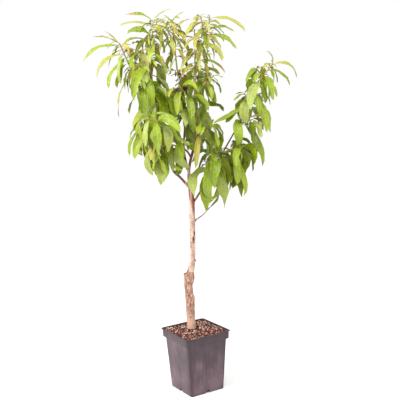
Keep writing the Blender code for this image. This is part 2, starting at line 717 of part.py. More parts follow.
def leaves_on(mass, path, count, key):
    """Leaves by the seeded rule: each a turn of LEAF_TURN on, smaller and steeper near the tip."""
    phase = random.Random(f"{NATURE} {mass.seed} {key}").uniform(0, 360)
    made = []
    for k in range(count):
        nature = random.Random(f"{NATURE} {mass.seed} {key} {k}")
        u = (k + 0.6) / count
        age = min(1.0, YOUNGEST_AGE + (1 - YOUNGEST_AGE) * (1 - u) / YOUNG_PART)
        start, axis = seat_on(path, BARE_FOOT + (1 - BARE_FOOT) * (1 - (1 - u) ** CROWDING))
        around = math.radians(phase + k * LEAF_TURN + nature.uniform(-TURN_SPREAD, TURN_SPREAD))
        out = axis.orthogonal().normalized()
        out.rotate(Matrix.Rotation(around, 3, axis))
        opening = YOUNG_OPENING + (OLD_OPENING - YOUNG_OPENING) * age
        opening = math.radians(opening + nature.uniform(-OPENING_SPREAD, OPENING_SPREAD))
        aim = axis * math.cos(opening) + out * math.sin(opening)
        azimuth = math.degrees(math.atan2(aim.y, aim.x))
        rise = math.degrees(math.asin(max(-1, min(1, aim.z))))
        length = mass.leaf * MM * (YOUNG_LENGTH + (1 - YOUNG_LENGTH) * age) * nature.uniform(*SIZE_SPREAD)
        width = mass.width * MM * (YOUNG_WIDTH + (1 - YOUNG_WIDTH) * age) * nature.uniform(*SIZE_SPREAD)
        sinking = mass.droop * (YOUNG_DROOP + (1 - YOUNG_DROOP) * age) + RISE_DROOP * rise
        droop = sinking * nature.uniform(*DROOP_SPREAD)
        roll = outward_roll(start, azimuth) + nature.uniform(-ROLL_SPREAD, ROLL_SPREAD)
        profile = SHORT_PROFILE if length < SHORT_LEAF else PLAIN_PROFILE
        made.append((start, azimuth, rise, droop, length, width, roll, 1 + age, profile))
    return made


def leading_leaves(mass, stem):
    """The leaves that draw the crown's outline, each from its share of the stem."""
    made = []
    for leaf in mass.leading:
        start, _ = seat_on(stem, leaf.share)
        size = (leaf.length * MM, leaf.width * MM)
        roll = LEADING_ROLL * math.cos(math.radians(leaf.azimuth))
        made.append((start, leaf.azimuth, leaf.rise, leaf.droop, *size, roll, 1.0, LEADING_PROFILE))
    return made


def grown(mass, paths):
    """All the pieces of wood and all the leaves that the rule would give a mass, before any is skipped."""
    stem = stem_of(mass, paths)
    foot = point_along(paths[mass.limb], 1.0)[1] if mass.along == 1.0 else stem[0][1]
    wood = [twig_rings([(stem[0][0], foot)] + stem[1:], mass.heading, STEM_START / 2, STEM_END / 2)]
    leaves = leading_leaves(mass, stem) + leaves_on(mass, stem, mass.leaves, "stem")
    shares = [k / STEM_STATIONS for k in range(STEM_STATIONS + 1)]
    for number, (share, heading, rise, length) in enumerate(twigs_of(mass)):
        start, _ = seat_on(stem, share)
        path = arched(start, heading, rise, mass.bend, length * MM, shares)
        wood.append(twig_rings(path, heading, TWIG_START / 2, STEM_END / 2))
        count = max(FEWEST_LEAVES, round(mass.leaves * TWIG_LEAVES))
        leaves += leaves_on(mass, path, count, f"twig {number}")
    return wood, leaves


def mass_space(mass, paths):
    """The ball that a mass keeps to: its centre and its radius."""
    stem = stem_of(mass, paths)
    return stem[len(stem) // 2][0], (STEM_REACH * mass.length + LEAF_REACH * mass.leaf) * MM


def touches(rings, tree):
    """Whether a loft cuts any of the shapes in a search tree."""
    return bool(tree.overlap(tree_of([surface(rings)])))


def turned(leaf):
    """A leaf as the rule gives it, and then turned to one side and the other."""
    start, azimuth, *shape = leaf
    return [(start, azimuth + turn, *shape) for turn in SECOND_TRIES]


def leaves_kept(mass, leaves, wood, tree, paths):
    """The leaves of a mass that stay inside its space and clear of the others and of each other's blades.

    A leaf that doesn't is turned to each side before it is skipped.
    """
    centre, reach = mass_space(mass, paths)
    own = [surface(piece) for piece in wood]
    kept = []
    for tries in map(turned, leaves):
        for leaf in tries:
            rings = leaf_rings(*leaf)
            blade = rings[1:]
            outside = any((point - centre).length > reach for ring in rings for point in ring)
            stout = leaf_rings(*leaf, spare=TOUCH_CLEARANCE)
            if not outside and not touches(stout, tree) and not touches(blade, tree_of(own)):
                kept.append(rings)
                own.append(surface(blade))
                break
    return kept


def grow_masses(paths, limbs):
    """Every mass by the rule, in turn: {name: lofts}. What leaves its space or touches another is skipped."""
    plans = {mass.name: grown(mass, paths) for mass in MASSES}
    kept = {name: wood[:1] for name, (wood, leaves) in plans.items()}
    for mass in MASSES:
        for rings in plans[mass.name][0][1:]:
            others = [surface(piece) for name in kept if name != mass.name for piece in kept[name]]
            if not touches(rings, tree_of(limbs + others)):
                kept[mass.name].append(rings)
    for mass in MASSES:
        others = [surface(piece) for name in kept if name != mass.name for piece in kept[name]]
        around = tree_of(limbs + others)
        kept[mass.name] += leaves_kept(mass, plans[mass.name][1], kept[mass.name], around, paths)
    return kept


def make_mass(mass, lofts, paths, collection, finish):
    """One mass: its stem, side twigs and leaves, fused into one body."""
    pieces = []
    for rings in lofts:
        bm = bmesh.new()
        loft(bm, rings)
        pieces.append(place(bm, mass.name, collection, finish))
    stem = pieces[0]
    if mass.along < 1:
        clear_of_parent(stem, mass.limb, paths, collection, finish)
    combine(stem, pieces[1:], "UNION")
    keep_largest(stem)


def new_collection(name):
    collection = bpy.data.collections.new(name)
    bpy.context.scene.collection.children.link(collection)
    return collection


def main():
    for obj in list(bpy.data.objects):
        bpy.data.objects.remove(obj)
    plant = new_collection("potted_peach_tree")
    cutters = new_collection("cutters")
    make_cutters(cutters)
    make_pot(plant, cutters)
    make_potting_mix(plant)
    paths = {bough.name: smooth_route(bough.route) for bough in BOUGHS}
    paths["trunk"] = smooth_route(TRUNK_ROUTE)
    paths["bare_twig"] = smooth_route(BARE_TWIG_ROUTE)
    make_trunk(plant, trunk_bark())
    bark = bough_bark()
    for bough in BOUGHS:
        make_bough(bough, paths, plant, bark)
    make_bare_twig(paths, plant, dead_wood())
    limbs = [limb_shape(obj) for obj in plant.objects if obj.name != "pot"]
    kept = grow_masses(paths, limbs)
    finish = leaf_green()
    for mass in MASSES:
        make_mass(mass, kept[mass.name], paths, plant, finish)


if __name__ == "__main__":
    main()
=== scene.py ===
import json
import math
import random
from collections import namedtuple

import bmesh
import bpy
from mathutils import Matrix, Vector, noise
from mathutils.bvhtree import BVHTree

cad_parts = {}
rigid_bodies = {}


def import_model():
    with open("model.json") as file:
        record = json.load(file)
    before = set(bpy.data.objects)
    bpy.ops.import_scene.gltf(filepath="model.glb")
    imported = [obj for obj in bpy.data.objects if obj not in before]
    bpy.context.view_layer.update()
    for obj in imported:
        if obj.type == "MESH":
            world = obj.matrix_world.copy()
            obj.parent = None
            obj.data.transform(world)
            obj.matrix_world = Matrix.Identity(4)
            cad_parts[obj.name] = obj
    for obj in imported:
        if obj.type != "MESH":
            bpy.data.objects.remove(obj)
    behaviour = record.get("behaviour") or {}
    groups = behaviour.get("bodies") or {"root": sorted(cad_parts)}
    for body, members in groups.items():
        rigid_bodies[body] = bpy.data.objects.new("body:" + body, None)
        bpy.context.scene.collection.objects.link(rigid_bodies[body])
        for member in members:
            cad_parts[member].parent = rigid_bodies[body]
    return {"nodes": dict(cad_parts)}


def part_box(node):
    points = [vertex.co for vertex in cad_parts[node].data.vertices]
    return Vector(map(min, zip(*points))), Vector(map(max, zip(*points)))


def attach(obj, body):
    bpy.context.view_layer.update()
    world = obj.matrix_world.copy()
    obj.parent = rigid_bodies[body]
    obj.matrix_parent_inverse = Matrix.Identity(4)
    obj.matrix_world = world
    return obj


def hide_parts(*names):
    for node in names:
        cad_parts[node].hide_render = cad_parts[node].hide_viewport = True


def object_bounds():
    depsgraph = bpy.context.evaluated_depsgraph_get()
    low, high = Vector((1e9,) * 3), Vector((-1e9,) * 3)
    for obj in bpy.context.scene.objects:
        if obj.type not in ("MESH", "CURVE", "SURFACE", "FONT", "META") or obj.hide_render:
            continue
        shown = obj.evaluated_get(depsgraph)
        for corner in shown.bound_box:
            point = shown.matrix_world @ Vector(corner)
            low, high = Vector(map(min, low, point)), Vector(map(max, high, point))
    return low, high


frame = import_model()
cad_low, cad_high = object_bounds()


# The nursery pot: one thin square bucket of black polypropylene, injection moulded. Its collar stacks on the
# next pot, a thin lip stiffens the mouth, and a notch in each bottom edge and four holes let water out.

MM = 0.001
RIM_SIDE = 136 * MM
LIP_REACH = 2 * MM
LIP_THICKNESS = 2.2 * MM
LIP_CORNER = 9 * MM
COLLAR_HEIGHT = 21 * MM
COLLAR_STEP = 5.8 * MM
COLLAR_DRAFT = 0.5 * MM
NECK_RADIUS = 2 * MM
FOOT_BAND = 2 * MM
BASE_SIDE = 101.6 * MM
POT_HEIGHT = 160 * MM
POT_WALL = 1.6 * MM
POT_CORNER = 10 * MM
NECK_CORNER = 8 * MM
BASE_CORNER = 5 * MM
FOOT_WALL = 3 * MM
FLOOR_HEIGHT = 9.5 * MM
PAD_HALF = 14 * MM
PAD_CORNER = 4 * MM
PAD_DRAFT = 1.5 * MM
POT_TURN = math.radians(32.6)
NOTCH_WIDTH = 22 * MM
NOTCH_HEIGHT = 7.5 * MM
NOTCH_DEPTH = 7 * MM
NOTCH_NARROWING = 0.3
DRAIN_RADIUS = 4.5 * MM
DRAIN_SPREAD = 42 * MM
EDGE = 0.6 * MM
CORNER_STEPS = 10
SIDE_STEPS = 8
WALL_LEVELS = 12
WALL_BOW = 0.6 * MM
# Height of the painted shadow that the collar casts on the wall below it.
PAINTED_SHADOW_BAND = 8 * MM
DUSTY_FOOT = 100 * MM
CLOUD_SHARE = 0.72
DRAIN_SIDES = 24
CREASE = math.radians(38)


def linear(colour):
    """An sRGB hex colour as linear red, green, blue and alpha."""
    parts = [int(colour[i:i + 2], 16) / 255 for i in (1, 3, 5)]
    return [part / 12.92 if part <= 0.04045 else ((part + 0.055) / 1.055) ** 2.4 for part in parts] + [1.0]


def node(tree, kind, settings=(), inputs=(), links=(), stops=(), into=None):
    """Adds a node with its settings, unlinked inputs, links and colour stops, and feeds a socket with it."""
    made = tree.nodes.new(kind)
    for name, value in dict(settings).items():
        setattr(made, name, value)
    for name, value in dict(inputs).items():
        made.inputs[name].default_value = value
    for name, source in dict(links).items():
        tree.links.new(source, made.inputs[name])
    for _ in stops[2:]:
        made.color_ramp.elements.new(0.5)
    for number, (position, colour) in enumerate(stops):
        made.color_ramp.elements[number].position = position
        made.color_ramp.elements[number].color = linear(colour)
    if into:
        tree.links.new(made.outputs[0], into)
    return made


def arithmetic(tree, operation, *values):
    """The result of a math node. Each value is a number or another node's socket."""
    numbers = {place: value for place, value in enumerate(values) if isinstance(value, (int, float))}
    sockets = {place: value for place, value in enumerate(values) if place not in numbers}
    return node(tree, "ShaderNodeMath", {"operation": operation}, numbers, sockets).outputs[0]


def new_material(name, roughness, specular):
    """A dielectric finish: the material, its node tree and its shader."""
    made = bpy.data.materials.new(name)
    made.use_nodes = True
    shader = made.node_tree.nodes["Principled BSDF"]
    shader.inputs["Roughness"].default_value = roughness
    shader.inputs["Specular IOR Level"].default_value = specular
    return made, made.node_tree, shader


def object_pattern(tree, scale, detail, **settings):
    """Noise on object coordinates: its waves per metre along each axis, and its detail."""
    place = node(tree, "ShaderNodeTexCoord").outputs["Object"]
    spread = node(tree, "ShaderNodeMapping", inputs={"Scale": scale}, links={"Vector": place}).outputs[0]
    pattern = {"Scale": 1.0, "Detail": detail, **settings}
    return node(tree, "ShaderNodeTexNoise", inputs=pattern, links={"Vector": spread}).outputs["Fac"]


def relief(tree, shader, height, depth, strength=1.0):
    """Lets a pattern stand out of the surface by a depth."""
    node(tree, "ShaderNodeBump", inputs={"Distance": depth, "Strength": strength}, links={"Height": height},
         into=shader.inputs["Normal"])


def grained(name, roughness, specular, scale, detail, stops, depth):
    """A finish whose colour and relief both follow one noise."""
    made, tree, shader = new_material(name, roughness, specular)
    grain = object_pattern(tree, scale, detail)
    node(tree, "ShaderNodeValToRGB", links={"Fac": grain}, stops=stops, into=shader.inputs["Base Color"])
    relief(tree, shader, grain, depth)
    return made


def moulded_polypropylene():
    """Black polypropylene gone purple grey and dusty, with the mould's flow lines up its walls.

    The lines are about 6 mm apart. Dust lies in clouds on the flat walls and near the ground. The plastic is
    darker at the corners. A painted shadow of the collar darkens the wall just under it, and the collar too.
    """
    made, tree, shader = new_material("moulded_polypropylene", 0.42, 0.4)
    place = node(tree, "ShaderNodeTexCoord").outputs["Object"]
    square = node(tree, "ShaderNodeVectorRotate", {"rotation_type": "Z_AXIS"}, {"Angle": -POT_TURN},
                  {"Vector": place})
    folded = node(tree, "ShaderNodeVectorMath", {"operation": "ABSOLUTE"}, links={0: square.outputs[0]})
    x, y, z = node(tree, "ShaderNodeSeparateXYZ", links={0: folded.outputs[0]}).outputs
    corner = arithmetic(tree, "DIVIDE", arithmetic(tree, "MINIMUM", x, y), arithmetic(tree, "MAXIMUM", x, y))
    clouds = arithmetic(tree, "MULTIPLY", object_pattern(tree, (30, 30, 20), 4), CLOUD_SHARE)
    dust_and_painted_shadow = arithmetic(tree, "MULTIPLY_ADD", object_pattern(tree, (160, 160, 9), 3), 1 - CLOUD_SHARE, clouds)
    # The layers: darker at the corners, a painted shadow of the collar over a band of wall just under it and
    # on up the collar, and lighter dust near the ground.
    painted_shadow_start = POT_HEIGHT - COLLAR_HEIGHT - PAINTED_SHADOW_BAND
    for source, start, end, change in (
            (corner, 0.82, 0.97, -0.16), (z, painted_shadow_start, painted_shadow_start + PAINTED_SHADOW_BAND, -0.14), (z, DUSTY_FOOT, 0, 0.14)):
        reach = {"From Min": start, "From Max": end, "To Max": change}
        layer = node(tree, "ShaderNodeMapRange", {"interpolation_type": "SMOOTHSTEP"}, reach,
                     {"Value": source})
        dust_and_painted_shadow = arithmetic(tree, "ADD", dust_and_painted_shadow, layer.outputs[0])
    node(tree, "ShaderNodeValToRGB", links={"Fac": dust_and_painted_shadow},
         stops=((0.3, "#392B33"), (0.5, "#49373F"), (0.72, "#69535C")), into=shader.inputs["Base Color"])
    relief(tree, shader, object_pattern(tree, (1400, 1400, 1400), 2), 0.15 * MM, 0.5)
    return made


def square_ring(half, corner, height, bow=0.0):
    """A square with round corners and sides that bow out a little, turned as the pot stands."""
    points = []
    for quarter in range(4):
        turn = Matrix.Rotation(POT_TURN + quarter * math.pi / 2, 3, "Z")
        for step in range(CORNER_STEPS):
            angle = math.radians(90 * step / (CORNER_STEPS - 1))
            x = half - corner + corner * math.cos(angle)
            y = half - corner + corner * math.sin(angle)
            points.append(turn @ Vector((x, y, height)))
        for step in range(1, SIDE_STEPS):
            share = step / SIDE_STEPS
            x = (half - corner) * (1 - 2 * share)
            y = half + bow * math.sin(math.pi * share)
            points.append(turn @ Vector((x, y, height)))
    return points


def loft(bm, rings):
    """Closes a body through rings of equal length. A ring of one point is a tip."""
    rows = [[bm.verts.new(point) for point in ring] for ring in rings]
    for lower, upper in zip(rows, rows[1:]):
        count = max(len(lower), len(upper))
        for i in range(count):
            j = (i + 1) % count
            corners = [lower[i % len(lower)], lower[j % len(lower)]]
            corners += [upper[j % len(upper)], upper[i % len(upper)]]
            bm.faces.new(list(dict.fromkeys(corners)))
    for row in (rows[0], rows[-1]):
        if len(row) > 2:
            bm.faces.new(row)


def in_scene(name, data):
    """A new object in the scene."""
    made = bpy.data.objects.new(name, data)
    bpy.context.scene.collection.objects.link(made)
    return made


def placed(bm, name, *finishes, smooth=True):
    """A mesh object at the origin from a bmesh, its faces turned outwards."""
    bmesh.ops.recalc_face_normals(bm, faces=bm.faces)
    mesh = bpy.data.meshes.new(name)
    bm.to_mesh(mesh)
    bm.free()
    for finish in finishes:
        mesh.materials.append(finish)
    if smooth:
        mesh.shade_smooth()
    return in_scene(name, mesh)


def applied(piece):
    """Turns a piece with live modifiers into a plain mesh."""
    bpy.context.view_layer.update()
    evaluated = piece.evaluated_get(bpy.context.evaluated_depsgraph_get())
    mesh = bpy.data.meshes.new_from_object(evaluated)
    piece.modifiers.clear()
    piece.data = mesh
    return piece


def finished(piece, slot, *nodes):
    """The calls that every piece needs: it rides on the one body and stands for its CAD nodes."""
    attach(piece, "root")
    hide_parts(*nodes)


collar = RIM_SIDE / 2 - LIP_REACH
ledge = POT_HEIGHT - COLLAR_HEIGHT
shelf = collar - COLLAR_DRAFT
neck = shelf - COLLAR_STEP
foot = BASE_SIDE / 2
under = foot - FOOT_WALL
lip = RIM_SIDE / 2
lip_foot = POT_HEIGHT - LIP_THICKNESS
ceiling = FLOOR_HEIGHT - POT_WALL
wall = []
for level in range(WALL_LEVELS + 1):
    share = level / WALL_LEVELS
    height = FOOT_BAND + (ledge - NECK_RADIUS - FOOT_BAND) * share
    corner = BASE_CORNER + (NECK_CORNER - BASE_CORNER) * share
    wall.append((foot + (neck - foot) * share, corner, height, WALL_BOW * math.sin(math.pi * share)))
footing = [(PAD_HALF, PAD_CORNER, 0), (PAD_HALF + PAD_DRAFT, PAD_CORNER, ceiling),
           (under, BASE_CORNER - FOOT_WALL, ceiling), (under, BASE_CORNER - FOOT_WALL, EDGE),
           (under + EDGE / 2, BASE_CORNER - FOOT_WALL, 0), (foot - EDGE, BASE_CORNER, 0),
           (foot - EDGE / 3, BASE_CORNER, EDGE)]
band = [(neck + EDGE, NECK_CORNER, ledge - NECK_RADIUS / 2), (shelf - 2 * EDGE, POT_CORNER, ledge - EDGE / 2),
        (shelf - EDGE / 3, POT_CORNER, ledge), (shelf, POT_CORNER, ledge + EDGE),
        (collar, POT_CORNER, lip_foot - EDGE), (collar + EDGE, POT_CORNER, lip_foot),
        (lip - EDGE, LIP_CORNER, lip_foot), (lip, LIP_CORNER, lip_foot + EDGE),
        (lip, LIP_CORNER, POT_HEIGHT - EDGE), (lip - EDGE, LIP_CORNER, POT_HEIGHT)]
inside = [(collar + EDGE, POT_CORNER, POT_HEIGHT), (collar, POT_CORNER, POT_HEIGHT - EDGE),
          (shelf, POT_CORNER, ledge + POT_WALL), (neck, NECK_CORNER, ledge - NECK_RADIUS + POT_WALL),
          (foot, BASE_CORNER, FLOOR_HEIGHT), (PAD_HALF + PAD_DRAFT, PAD_CORNER, FLOOR_HEIGHT),
          (PAD_HALF, PAD_CORNER, POT_WALL)]
shell = bmesh.new()
loft(shell, [square_ring(*level) for level in footing + wall + band]
     + [square_ring(half - POT_WALL, corner - POT_WALL, height) for half, corner, height in inside])
pot = placed(shell, "nursery_pot", moulded_polypropylene())
drains = bpy.data.collections.new("drains")
for side in range(4):
    wedge = bmesh.new()
    bmesh.ops.create_cube(wedge, size=1)
    bmesh.ops.scale(wedge, vec=(NOTCH_DEPTH * 2, NOTCH_WIDTH, 2 * NOTCH_HEIGHT), verts=wedge.verts)
    for vert in wedge.verts:
        if vert.co.z > 0:
            vert.co.y *= NOTCH_NARROWING
    bmesh.ops.translate(wedge, vec=(foot, 0, 0), verts=wedge.verts)
    bmesh.ops.rotate(wedge, matrix=Matrix.Rotation(POT_TURN + side * math.pi / 2, 3, "Z"), verts=wedge.verts)
    drains.objects.link(placed(wedge, "notch"))
    rod = bmesh.new()
    radii = {"radius1": DRAIN_RADIUS, "radius2": DRAIN_RADIUS}
    bmesh.ops.create_cone(rod, cap_ends=True, segments=DRAIN_SIDES, depth=4 * POT_WALL, **radii)
    angle = POT_TURN + (side + 0.5) * math.pi / 2
    spot = (DRAIN_SPREAD * math.cos(angle), DRAIN_SPREAD * math.sin(angle), FLOOR_HEIGHT)
    bmesh.ops.translate(rod, vec=spot, verts=rod.verts)
    drains.objects.link(placed(rod, "drain"))
cut = pot.modifiers.new("drains", "BOOLEAN")
cut.operation = "DIFFERENCE"
cut.operand_type = "COLLECTION"
cut.collection = drains
applied(pot)
pot.data.set_sharp_from_angle(angle=CREASE)
for cutter in list(drains.objects):
    bpy.data.objects.remove(cutter)
bpy.data.collections.remove(drains)
finished(pot, "black_plastic", "pot")


# The potting mix: coarse bark chips and crumbs of pumice, poured in by hand and settled just under the lip,
# mounded a little round the trunk. A dark bed of fines shows between the chips.

MIX_EDGE = 156 * MM
MIX_TOP = 163.5 * MM
MIX_CENTRE = Vector((-10 * MM, 0, 0))
MIX_CORNER = POT_CORNER - 2 * MM
MIX_BAND = 2 * MM
SLACK = 0.3 * MM
BED_STEPS = 14
LUMPS = ((60, 2.2), (190, 0.9))
CHIP_SIZE = 6.4 * MM
CHIP_KINDS = 4
CHIP_SEED = 11
CHIP_KNOCKS = (0.72, 1.25)
CHIP_WIDTH = (0.55, 0.85)
FLATTEST_CHIP = 0.3
FLATNESS_STEP = 0.12

# Name, dark and light colour, chips per square metre, smallest and largest size, and seed of each kind.
CHIP_MIX = (
    ("dark_bark", "#43201A", "#7C4234", 17000, 0.7, 1.35, 3),
    ("tan_bark", "#947262", "#C6A894", 12000, 0.6, 1.2, 9),
    ("red_bark", "#6E3A30", "#A87462", 9000, 0.6, 1.2, 15),
    ("pumice", "#BCA89C", "#EEDFD4", 8500, 0.5, 1.05, 21),
)


# The crumbled bark between the chips: dark red brown and quite dull.
damp_fines = grained("damp_bark_fines", 0.95, 0.2, (420, 420, 420), 5,
                     ((0.35, "#2A1512"), (0.55, "#4A2A22"), (0.75, "#6B4436")), 1.5 * MM)


def mix_half(height):
    """Half the width of the pot's inner face at a height in the collar."""
    low = ledge + POT_WALL
    share = (height - low) / (POT_HEIGHT - low)
    return collar - COLLAR_DRAFT * (1 - share) - POT_WALL - SLACK


def bed_height(point, share):
    """Height of the bed at a share of the way from its edge to its middle, lumpier away from the edge."""
    lump = sum(noise.noise(point * waves) * size for waves, size in LUMPS)
    return MIX_EDGE + (MIX_TOP - MIX_EDGE) * share + lump * MM * min(1, 3 * share + 0.3)


rings = [square_ring(foot - POT_WALL - SLACK, MIX_CORNER, FLOOR_HEIGHT + SLACK),
         square_ring(neck - POT_WALL - SLACK, MIX_CORNER, ledge - NECK_RADIUS),
         square_ring(mix_half(ledge + MIX_BAND), MIX_CORNER, ledge + MIX_BAND)]
for step in range(BED_STEPS):
    share = step / BED_STEPS
    ring = []
    for point in square_ring(mix_half(MIX_EDGE), MIX_CORNER, 0):
        spot = point.lerp(MIX_CENTRE, share)
        spot.z = bed_height(Vector((spot.x, spot.y, 0)), share)
        ring.append(spot)
    rings.append(ring)
rings.append([Vector((MIX_CENTRE.x, MIX_CENTRE.y, MIX_TOP))])
bed_mesh = bmesh.new()
loft(bed_mesh, rings)
bed = placed(bed_mesh, "potting_mix_bed", damp_fines)
finished(bed, "bark_and_pumice", "potting_mix")


def chip_shape(number, flatness):
    """One broken chip about a unit long, thinner one way, with its corners knocked about."""
    bm = bmesh.new()
    bmesh.ops.create_icosphere(bm, subdivisions=1, radius=0.5)
    nature = random.Random(number)
    for vert in bm.verts:
        for axis in range(3):
            vert.co[axis] *= nature.uniform(*CHIP_KNOCKS)
    bmesh.ops.scale(bm, vec=(1.0, nature.uniform(*CHIP_WIDTH), flatness), verts=bm.verts)
    return bm


def scatter_tree(shapes, finish, density, smallest, largest, seed):
    """Chips of one kind dropped over a surface: points by density, each a shape at a random turn and size."""
    tree = bpy.data.node_groups.new("scatter_" + finish.name, "GeometryNodeTree")
    face = tree.interface
    face.new_socket("Surface", in_out="INPUT", socket_type="NodeSocketGeometry")
    for name, value in (("Chips per square metre", density), ("Smallest", smallest), ("Largest", largest)):
        face.new_socket(name, in_out="INPUT", socket_type="NodeSocketFloat").default_value = value
    face.new_socket("Chips", in_out="OUTPUT", socket_type="NodeSocketGeometry")
    given = node(tree, "NodeGroupInput")
    points = node(tree, "GeometryNodeDistributePointsOnFaces", inputs={"Seed": seed},
                  links={"Mesh": given.outputs["Surface"],
                         "Density": given.outputs["Chips per square metre"]})
    turn = node(tree, "FunctionNodeRandomValue", {"data_type": "FLOAT_VECTOR"},
                {1: (2 * math.pi,) * 3, "Seed": seed + 1})
    size = node(tree, "FunctionNodeRandomValue", {"data_type": "FLOAT"}, {"Seed": seed + 2},
                {2: given.outputs["Smallest"], 3: given.outputs["Largest"]})
    chips = node(tree, "GeometryNodeCollectionInfo", inputs={"Collection": shapes, "Separate Children": True})
    drop = node(tree, "GeometryNodeInstanceOnPoints", inputs={"Pick Instance": True},
                links={"Points": points.outputs["Points"], "Instance": chips.outputs[0],
                       "Rotation": turn.outputs[0], "Scale": size.outputs[1]})
    real = node(tree, "GeometryNodeRealizeInstances", links={"Geometry": drop.outputs[0]})
    coloured = node(tree, "GeometryNodeSetMaterial", inputs={"Material": finish},
                    links={"Geometry": real.outputs[0]})
    node(tree, "NodeGroupOutput", links={"Chips": coloured.outputs[0]})
    return tree


def scattered(name, surface, tree, sizes):
    """A piece that the tree grows over a surface, made a plain mesh."""
    piece = in_scene(name, surface.data.copy())
    grown_over = piece.modifiers.new("scatter", "NODES")
    grown_over.node_group = tree
    for item in tree.interface.items_tree:
        if item.name in sizes:
            grown_over[item.identifier] = sizes[item.name]
    return applied(piece)


shapes = bpy.data.collections.new("chips")
for number in range(CHIP_KINDS):
    flatness = FLATTEST_CHIP + FLATNESS_STEP * number
    chip = placed(chip_shape(number + CHIP_SEED, flatness), f"chip_{number}", smooth=False)
    bpy.context.scene.collection.objects.unlink(chip)
    shapes.objects.link(chip)
top_mesh = bmesh.new()
rows = [[top_mesh.verts.new(point) for point in ring] for ring in rings[3:-1]]
for lower, upper in zip(rows[:-3], rows[1:-2]):
    for i in range(len(lower)):
        j = (i + 1) % len(lower)
        top_mesh.faces.new((lower[i], lower[j], upper[j], upper[i]))
top = placed(top_mesh, "mix_surface")

# Broken bark or stone: dull, with grain about 1 mm apart.
for name, dark, light, density, smallest, largest, seed in CHIP_MIX:
    finish = grained(name, 0.9, 0.25, (700, 700, 420), 4, ((0.35, dark), (0.68, light)), 0.4 * MM)
    tree = scatter_tree(shapes, finish, density, smallest * CHIP_SIZE, largest * CHIP_SIZE, seed)
    chips = scattered(name + "_chips", top, tree, {"Chips per square metre": density})
    chips.data.materials.clear()
    chips.data.materials.append(finish)
    finished(chips, "bark_and_pumice", "potting_mix")
bpy.data.objects.remove(top)
for chip in list(shapes.objects):
    bpy.data.objects.remove(chip)
bpy.data.collections.remove(shapes)


# The wood: a fissured rootstock, the swollen graft with the cut stub of the old stem, a slim smooth scion,
# and the boughs and leader that fork from it, thinning up to where their leaves begin.

ROOT_COLLAR = 26
ROOTSTOCK = 22
GRAFT_SWELLING = 27
SCION = 15
LEADER = 7
LEADER_TIP = 4.4
ROUTE_STEP = 25 * MM
FINE_STEP = 3 * MM
WOOD_SIDES = 20
WOOD_VOXEL = 1.0 * MM
TWIG_SIDES = 12
LUMP_SEGMENTS = 20
LUMP_RINGS = 14
GRAFT_HEIGHT = 0.318
GRAFT_BLEND = 0.03
GRAFT_SLANT = 0.4
GRAFT_MIDDLE = -8 * MM
SCION_END = 0.585
SCION_MIDDLE = 1 * MM
SCION_REACH = 12.5 * MM
DASH_SHARE = 0.35
SMOOTH_RELIEF = 0.12 * MM
ROUGH_RELIEF = 0.75 * MM
STAIN_DEPTH = 0.7 * MM

# Ridges of the bark: waves per metre across and along the limb, and height of each kind.
RIDGES = ((330, 55, 1), (800, 160, 0.5))

Bough = namedtuple("Bough", "name parent route")

TRUNK_ROUTE = (
    ((-10, 0, 163.3), ROOT_COLLAR),
    ((-10, 0, 171), ROOT_COLLAR * 0.88),
    ((-10.6, 0, 184), ROOTSTOCK),
    ((-11, 0.5, 206), ROOTSTOCK),
    ((-11.2, 1, 232), ROOTSTOCK * 1.04),
    ((-12.6, 1.5, 256), ROOTSTOCK),
    ((-13.9, 1.5, 276), ROOTSTOCK),
    ((-13, 1.2, 290), ROOTSTOCK * 1.04),
    ((-10.8, 1, 301), GRAFT_SWELLING),
    ((-7.6, 0.5, 313), GRAFT_SWELLING * 0.74),
    ((-4.4, 0, 326), SCION * 1.14),
    ((-1.4, -1, 350), SCION * 1.1),
    ((1, -1.5, 386), SCION * 1.04),
    ((2.4, -1, 430), SCION),
    ((3.4, 0, 492), SCION * 0.94),
    ((1.4, 0.5, 530), SCION * 0.82),
    ((-1, 1, 562), SCION * 0.66),
    ((-0.5, 2, 582), LEADER),
    ((4, 2, 606), LEADER),
    ((13, 1, 636), LEADER * 0.95),
    ((20.5, 0, 664), LEADER * 0.9),
    ((22, -1, 704), LEADER * 0.85),
    ((20, -3, 752), LEADER * 0.78),
    ((23, -5, 800), LEADER * 0.7),
    ((27, -6, 838), LEADER_TIP),
)

BOUGHS = (
    Bough("left_bough", "trunk", (
        ((-1, 1, 536), 7.4), ((-24, 2, 563), 6.6), ((-39, 5, 578), 6.4), ((-47, 8, 597), 6.2),
        ((-62, 12, 642), 5.8), ((-84, 12, 706), 5.2), ((-104, 6, 762), 4.8), ((-121, 0, 806), 4.2))),
    Bough("right_bough", "trunk", (
        ((3, 0, 491), 6.4), ((17, 2, 511), 5.4), ((34, 8, 536), 5.0), ((56, 14, 572), 4.8),
        ((88, 22, 622), 4.4), ((121, 26, 676), 3.9), ((140, 22, 713), 3.7), ((153, 16, 744), 3.6),
        ((170, 6, 784), 3.5))),
    Bough("centre_bough", "trunk", (
        ((-0.5, 2, 580), 6.0), ((-8, 12, 602), 5.6), ((-12, 22, 638), 5.2), ((-7, 27, 700), 4.8),
        ((-6, 23, 760), 4.4), ((-15, 14, 812), 4.0), ((-21, 10, 836), 3.8))),
    Bough("front_bough", "trunk", (
        ((6, 1.6, 612), 5.6), ((-3, -16, 630), 5.2), ((-20, -40, 648), 4.8), ((-40, -64, 668), 4.4),
        ((-54, -84, 696), 3.8))),
    Bough("back_bough", "trunk", (
        ((16, 0.5, 648), 5.6), ((24, 22, 668), 5.2), ((33, 54, 698), 4.8), ((34, 86, 734), 4.4),
        ((28, 108, 774), 3.8))),
    Bough("upper_left_bough", "left_bough", (
        ((-64, 12, 648), 4.8), ((-68, 26, 684), 4.6), ((-77, 32, 740), 4.4), ((-85, 28, 800), 4.0),
        ((-86, 20, 845), 3.6))),
)

